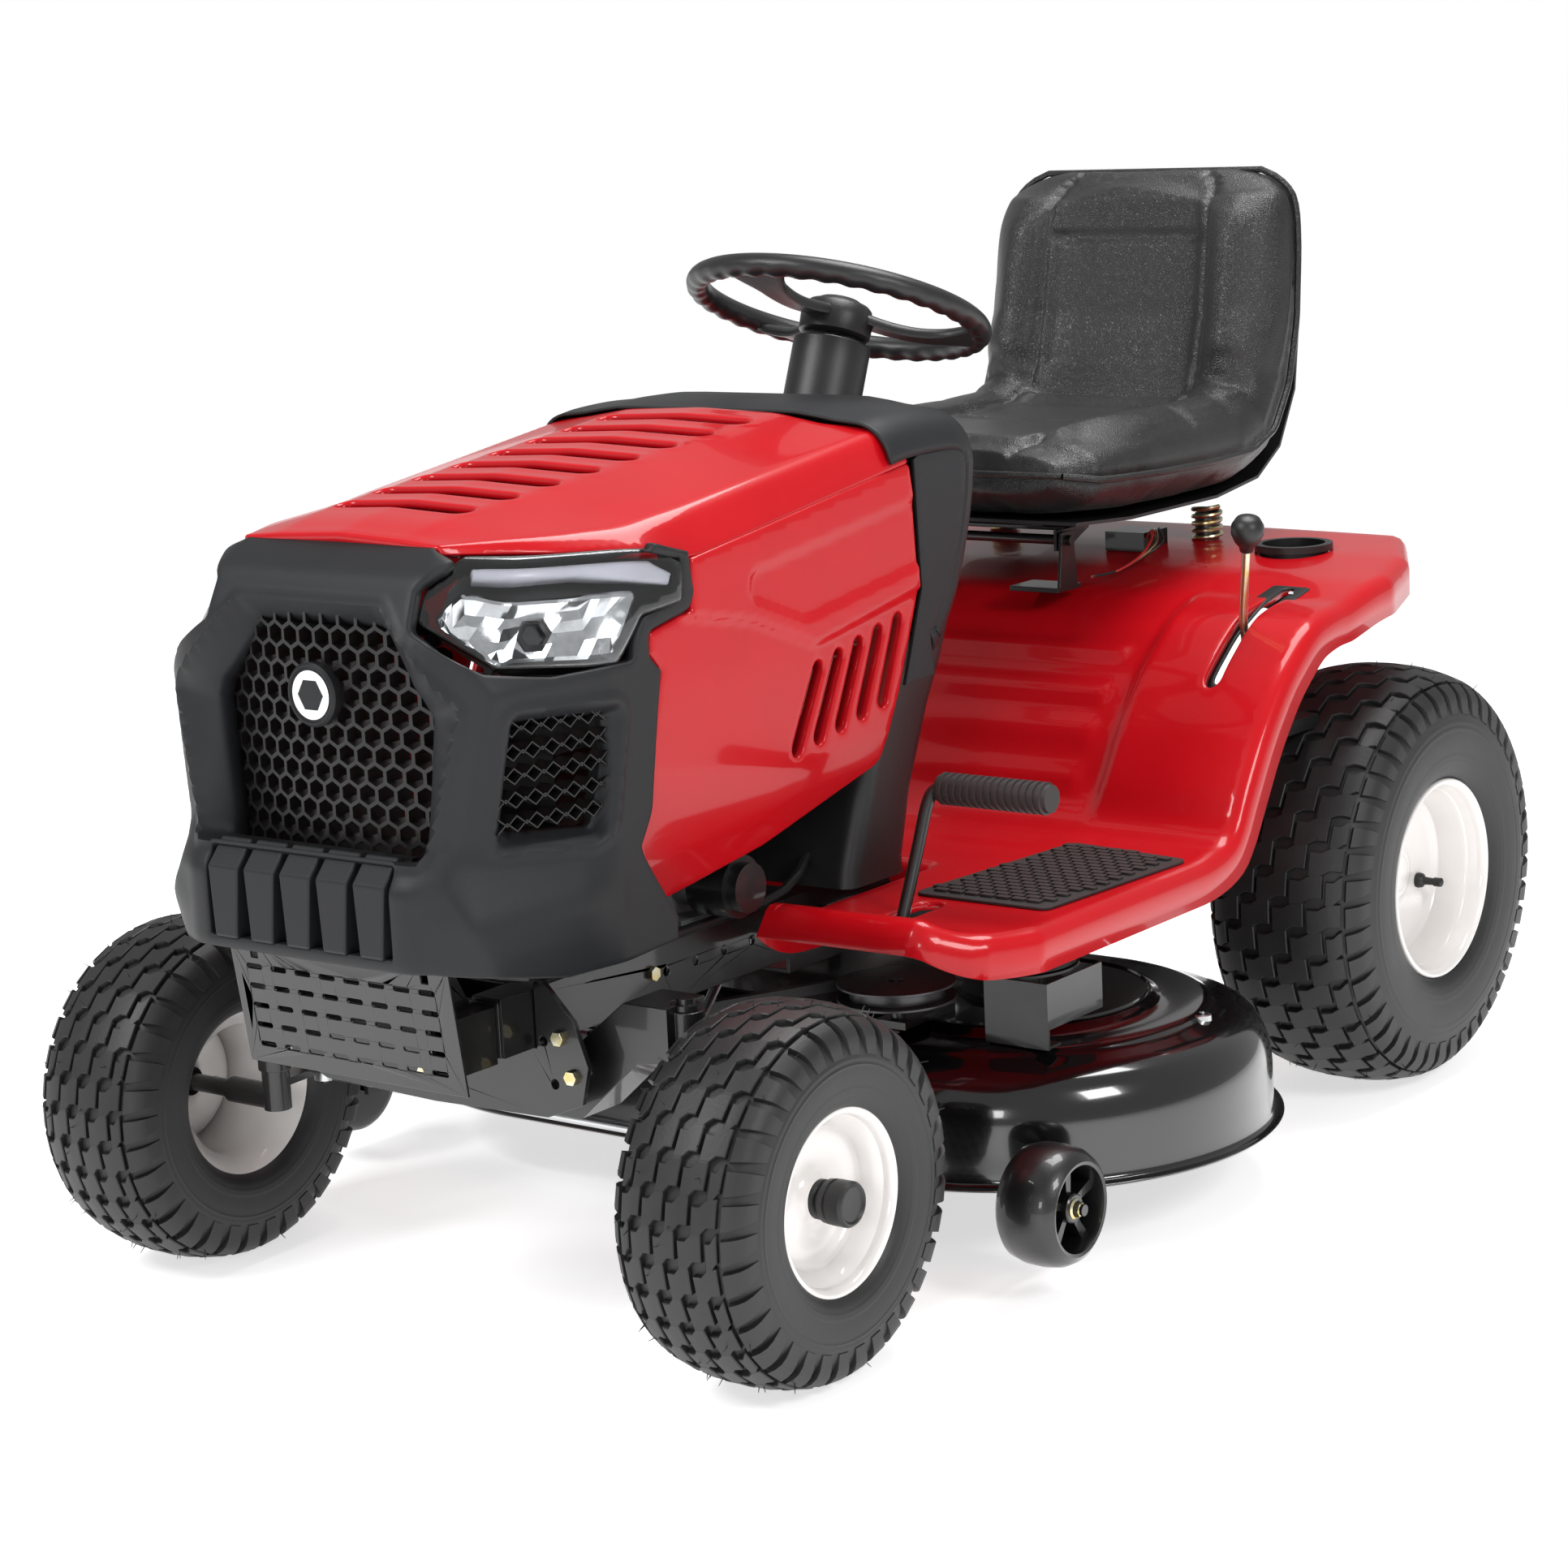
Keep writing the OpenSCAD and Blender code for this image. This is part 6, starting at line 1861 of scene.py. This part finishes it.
    def _piping(self, shop: Shop) -> None:
        """Make the welt round the cushion's edge and the coil springs.

        Args:
            shop: Maker of pieces.
        """
        loop = []
        for sign in (1, -1):
            stations = np.linspace(0.015, 0.985, 50)
            for s in (stations if sign > 0 else stations[::-1]):
                here, out, _thick, wide = self._frame_at(s)
                loop.append((sign * (wide + 0.0015), here[0] - out[0] * 0.004, here[1] - out[1] * 0.004))
        shop.place("seat_welt", *tube(loop + [loop[0]], 0.0042, 8, caps=False), VINYL, "seat")
        parts = []
        for sign in (1, -1):
            coil = [(sign * 0.150 + 0.017 * math.cos(a), 1.234 + 0.017 * math.sin(a), 0.637 + 0.044 * a / (TAU * 5))
                    for a in np.linspace(0, TAU * 5, 130)]
            parts.append(tube(coil, 0.0028, 8))
        shop.place("seat_springs", *joined(parts), ZINC, "chassis")


# ---- steering wheel, levers and small parts ------------------------------------------------------------------


@dataclass
class SteeringWheel:
    """Moulded wheel with finger scallops, three broad spokes and a dished hub."""

    centre: tuple[float, float, float] = (0.0, 0.689, 0.969)
    radius: float = 0.162
    grip: float = 0.0128
    rake: float = 22.0

    def build(self, shop: Shop) -> None:
        """Make the wheel.

        Args:
            shop: Maker of pieces.
        """
        verts = []
        steps, sides = 216, 22
        for i in range(steps):
            a = TAU * i / steps
            scallop = 0.5 - 0.5 * math.cos(a * 36)
            for k in range(sides):
                t = TAU * k / sides
                under = max(0.0, -math.sin(t))
                g = self.grip * (1.0 - 0.16 * scallop * under)
                r = self.radius + g * math.cos(t) * 1.02
                verts.append((r * math.cos(a), r * math.sin(a), g * math.sin(t) * 1.05))
        parts = [(np.array(verts), [face[::-1] for face in bridged(steps, sides, closed=True)])]
        for deg in (30, 150, 270):
            parts.append(self._spoke(math.radians(deg)))
        hub = lathe([(0.006, 0.0001), (0.007, 0.028), (0.005, 0.034), (0.001, 0.038), (-0.012, 0.0415),
                     (-0.030, 0.0405), (-0.034, 0.036), (-0.034, 0.022)], 48)
        parts.append(moved(hub, (0, 0, 0), Matrix.Rotation(-math.pi / 2, 4, "Y")))
        tilt = Matrix.Rotation(math.radians(-self.rake), 4, "X")
        shop.place("wheel_rim_and_spokes", *moved(joined(parts), self.centre, tilt), GRIP, "steering_column",
                   sharp=42, replaces=["steering_wheel"])
        cap = lathe([(0.0055, 0.0265), (0.0085, 0.0255), (0.0105, 0.022), (0.0115, 0.0001)], 48)
        cap = moved(cap, (0, 0, 0), Matrix.Rotation(-math.pi / 2, 4, "Y"))
        shop.place("wheel_cap", *moved(cap, self.centre, tilt), BLACK_PLASTIC, "steering_column", sharp=30)

    def _spoke(self, turn: float) -> Mesh:
        """Make one spoke that widens towards the rim.

        Args:
            turn: Direction of the spoke in radians.

        Returns:
            Vertices and faces.
        """
        stations, ring = 14, 12
        verts = []
        for i in range(stations + 1):
            t = i / stations
            r = 0.026 + (self.radius - 0.026) * t
            wide = 0.020 - 0.006 * math.sin(math.pi * min(1.0, t * 1.25)) + 0.017 * smoothstep((t - 0.72) / 0.28)
            z = -0.006 - 0.010 * math.sin(math.pi * t) + 0.004 * t
            thick = 0.0065
            for k in range(ring):
                a = TAU * k / ring
                c, s = math.cos(a), math.sin(a)
                y = math.copysign(abs(c) ** 0.5, c) * wide
                h = math.copysign(abs(s) ** 0.6, s) * thick - 0.004 * (y / wide) ** 2
                verts.append((r * math.cos(turn) - y * math.sin(turn), r * math.sin(turn) + y * math.cos(turn),
                              z + h))
        return np.array(verts), bridged(stations + 1, ring) + ends(stations + 1, ring)


@dataclass
class Levers:
    """Gear lever and brake pedal."""

    pivot: tuple = (0.366, 0.965, 0.470)
    kink: tuple = (0.374, 0.930, 0.600)
    knob: tuple = (0.400, 0.899, 0.704)

    def build(self, shop: Shop) -> None:
        """Make the bent lever with its knob, and the ribbed pedal.

        Args:
            shop: Maker of pieces.
        """
        a, b, c = (Vector(p) for p in (self.pivot, self.kink, self.knob))
        path = [a, a.lerp(b, 0.5), b - (b - a).normalized() * 0.012, b + (c - b).normalized() * 0.012,
                b.lerp(c, 0.6), c]
        boss = moved(lathe([(-0.02, 0.0001), (-0.02, 0.009), (0.02, 0.009), (0.02, 0.0001)], 24),
                     (0.360, 0.965, 0.470))
        shop.place("gear_lever_rod", *joined([tube(curved(path, 8), 0.005, 12), boss]), ZINC, "shift_lever",
                   replaces=["shift_lever"])
        knob = lathe([(-0.024, 0.0075), (-0.018, 0.009), (-0.012, 0.014), (-0.002, 0.0185), (0.008, 0.0185),
                      (0.016, 0.0140), (0.0195, 0.007), (0.020, 0.0001)], 32)
        turn = Vector((1, 0, 0)).rotation_difference((c - b).normalized()).to_matrix().to_4x4()
        shop.place("gear_lever_knob", *moved(knob, tuple(c), turn), BLACK_PLASTIC, "shift_lever")
        rod = [(0.144, 0.330, 0.345), (0.27, 0.330, 0.345), (0.294, 0.331, 0.347), (0.301, 0.338, 0.362),
               (0.301, 0.372, 0.431), (0.302, 0.398, 0.487), (0.312, 0.409, 0.497), (0.330, 0.410, 0.497)]
        shop.place("brake_rod", *tube(curved(rod, 6), 0.0068, 12), BLACK_PAINT, "brake_pedal",
                   replaces=["brake_pedal"])
        profile = []
        for i in range(15):
            x = -0.066 + i * 0.0088
            profile += [(x, 0.0150), (x + 0.0010, 0.0172), (x + 0.0050, 0.0172), (x + 0.0060, 0.0150)]
        profile = [(-0.070, 0.0001), (-0.070, 0.0145)] + profile + [(0.068, 0.0145), (0.068, 0.0001)]
        shop.place("brake_grip", *moved(lathe(profile, 32), (0.379, 0.410, 0.497)), PAD, "brake_pedal", sharp=30)


@dataclass
class Harness:
    """Loose wires at the seat switch."""

    radius: float = 0.0016
    offsets: tuple[float, ...] = (0.0, 0.008, 0.016)

    def build(self, shop: Shop) -> None:
        """Make the wires below the seat.

        Args:
            shop: Maker of pieces.
        """
        for i, (finish, dx) in enumerate(zip((WIRE_RED, ZINC, BLACK_PLASTIC), self.offsets)):
            wire = [(0.112 + dx * 0.5, 1.150 + dx, 0.650), (0.134, 1.130 + dx, 0.664), (0.150 + dx, 1.10, 0.655),
                    (0.158, 1.06 + dx, 0.642), (0.150, 1.02, 0.630), (0.130, 0.995, 0.626)]
            shop.place(f"switch_wire_{i}", *tube(curved(wire, 6), self.radius, 8), finish, "chassis")


# ---- studio and assembly -------------------------------------------------------------------------------------


@dataclass
class Studio:
    """Pale floor, soft lights and the camera."""

    azimuth: float = 37.4702
    elevation: float = 11.5157
    roll: float = -2.7695
    lens: float = 83.57
    eye: tuple[float, float, float] = (2.4425, -2.6416, 1.2671)
    ambient: float = 0.42
    glow: float = 0.62

    def build(self, shop: Shop) -> None:
        """Place floor, lights and camera.

        Args:
            shop: Maker of pieces, for the datum.
        """
        scene = bpy.context.scene
        scene.view_settings.view_transform = "Standard"
        self._floor()
        world = bpy.data.worlds.new("studio_world")
        scene.world = world
        world.use_nodes = True
        tree = world.node_tree
        tree.nodes["Background"].inputs["Color"].default_value = (1, 1, 1, 1)
        path = tree.nodes.new("ShaderNodeLightPath")
        level = tree.nodes.new("ShaderNodeMapRange")
        level.inputs["To Min"].default_value = self.ambient
        tree.links.new(path.outputs["Is Camera Ray"], level.inputs["Value"])
        tree.links.new(level.outputs["Result"], tree.nodes["Background"].inputs["Strength"])
        self._light("key", (-1.2, -2.6, 3.2), 1.3, 95, shop)
        self._light("right", (3.6, -0.4, 2.6), 1.1, 60, shop)
        self._light("top", (0.3, 1.4, 3.4), 1.6, 85, shop)
        self._light("front", (2.0, -4.0, 1.4), 0.9, 28, shop)
        a, e, r = (math.radians(v) for v in (self.azimuth, self.elevation, self.roll))
        back = Vector((math.sin(a) * math.cos(e), -math.cos(a) * math.cos(e), math.sin(e)))
        right = (-back).cross(Vector((0, 0, 1))).normalized()
        up = back.cross(right)
        turned = math.cos(r) * right + math.sin(r) * up
        upward = -math.sin(r) * right + math.cos(r) * up
        camera = bpy.data.objects.new("camera", bpy.data.cameras.new("camera"))
        bpy.context.collection.objects.link(camera)
        camera.data.lens = self.lens
        camera.data.sensor_width = 36
        camera.matrix_world = Matrix.Translation(Vector(self.eye) + shop.shift) @ Matrix(
            (turned, upward, back)).transposed().to_4x4()
        scene.camera = camera

    def _floor(self) -> None:
        """Make the floor."""
        mesh = bpy.data.meshes.new("floor")
        s = 300
        mesh.from_pydata([(-s, -s, 0), (s, -s, 0), (s, s, 0), (-s, s, 0)], [], [(0, 1, 2, 3)])
        floor = bpy.data.objects.new("floor", mesh)
        bpy.context.collection.objects.link(floor)
        paper = Finish("floor", (0.9, 0.9, 0.9), 0.6, grain=Grain.SMOOTH, drift=0.01, drift_size=2.0).material()
        glow = paper.node_tree.nodes["Principled BSDF"].inputs
        glow["Emission Color"].default_value = (1, 1, 1, 1)
        glow["Emission Strength"].default_value = self.glow
        mesh.materials.append(paper)

    def _light(self, name: str, at: Point, size: float, power: float, shop: Shop) -> None:
        """Place one soft light aimed at the machine.

        Args:
            name: Name of the light.
            at: Place of the light.
            size: Width of its face.
            power: Power in watts.
            shop: Maker of pieces, for the datum.
        """
        data = bpy.data.lights.new(name, "AREA")
        data.size = size
        data.energy = power
        lamp = bpy.data.objects.new(name, data)
        bpy.context.collection.objects.link(lamp)
        place = Vector(at) + shop.shift
        aim = Vector((0, 0.5, 0.5)) + shop.shift - place
        lamp.matrix_world = Matrix.Translation(place) @ aim.to_track_quat("-Z", "Y").to_matrix().to_4x4()


class Wear(Enum):
    """Edge rounding of CAD pieces."""

    NONE = 0.0
    FINE = 0.0006
    SHEET = 0.0010
    MOULDED = 0.0022
    SOFT = 0.004


KEPT: dict[tuple[Finish, Wear], tuple[str, ...]] = {
    (BLACK_PAINT, Wear.SHEET): ("frame_rails", "frame_crossmembers", "bumper", "front_axle", "spindle_left",
                                "spindle_right"),
    (ZINC, Wear.FINE): ("frame_bolts",),
    (BLACK_PLASTIC, Wear.NONE): ("harness_conduit",),
    (ALLOY, Wear.SOFT): ("engine_block", "transaxle"),
    (BLACK_PLASTIC, Wear.SOFT): ("blower_housing",),
    (EXHAUST, Wear.SOFT): ("muffler",),
    (BLACK_PAINT, Wear.MOULDED): ("oil_filter", "lift_lever"),
    (TANK, Wear.SOFT): ("fuel_tank",),
    (BATTERY, Wear.MOULDED): ("battery",),
    (BLACK_PLASTIC, Wear.MOULDED): ("column_cover", "cup_holder", "seat_pan", "deflector"),
    (BLACK_PAINT, Wear.FINE): ("seat_supports", "seat_bracket", "deck_fittings"),
    (STEEL, Wear.FINE): ("tie_rod", "drag_link", "steering_shaft"),
    (DARK_STEEL, Wear.FINE): ("steering_sector", "steering_pinion", "blade_left", "blade_right",
                              "spindle_pulley_left", "spindle_pulley_right", "idler_pulley", "engine_pulley"),
    (BLACK_PLASTIC, Wear.FINE): ("throttle_lever", "ignition_key"),
    (TYRE, Wear.FINE): ("deck_belt",),
}


def dress_cad() -> None:
    """Give every CAD node that stays in view its finish and soft edges."""
    for (finish, wear), nodes in KEPT.items():
        for node in nodes:
            tidy_cad(node, finish, wear.value)


def datum() -> Vector:
    """Return the shift from the machine's datum to the frame.

    Returns:
        Shift in metres.
    """
    left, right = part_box("front_tyre_left"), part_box("front_tyre_right")
    middle = (Vector(left[0]) + Vector(right[1])) / 2
    return Vector(((left[1][0] + right[0][0]) / 2, middle.y, 0.0))


def main() -> None:
    """Build every sub-assembly in turn."""
    logging.basicConfig(level=logging.INFO, format="%(name)s: %(message)s")
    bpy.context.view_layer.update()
    shop = Shop(datum())
    dress_cad()
    for part in (Wheels(), Hood(), Bezel(), Headlamp(), Dash(), Fender(), Deck(), Seat(), SteeringWheel(), Levers(),
                 Harness(), Studio()):
        part.build(shop)
        log.info("built %s", type(part).__name__)


if __name__ == "__main__":
    main()
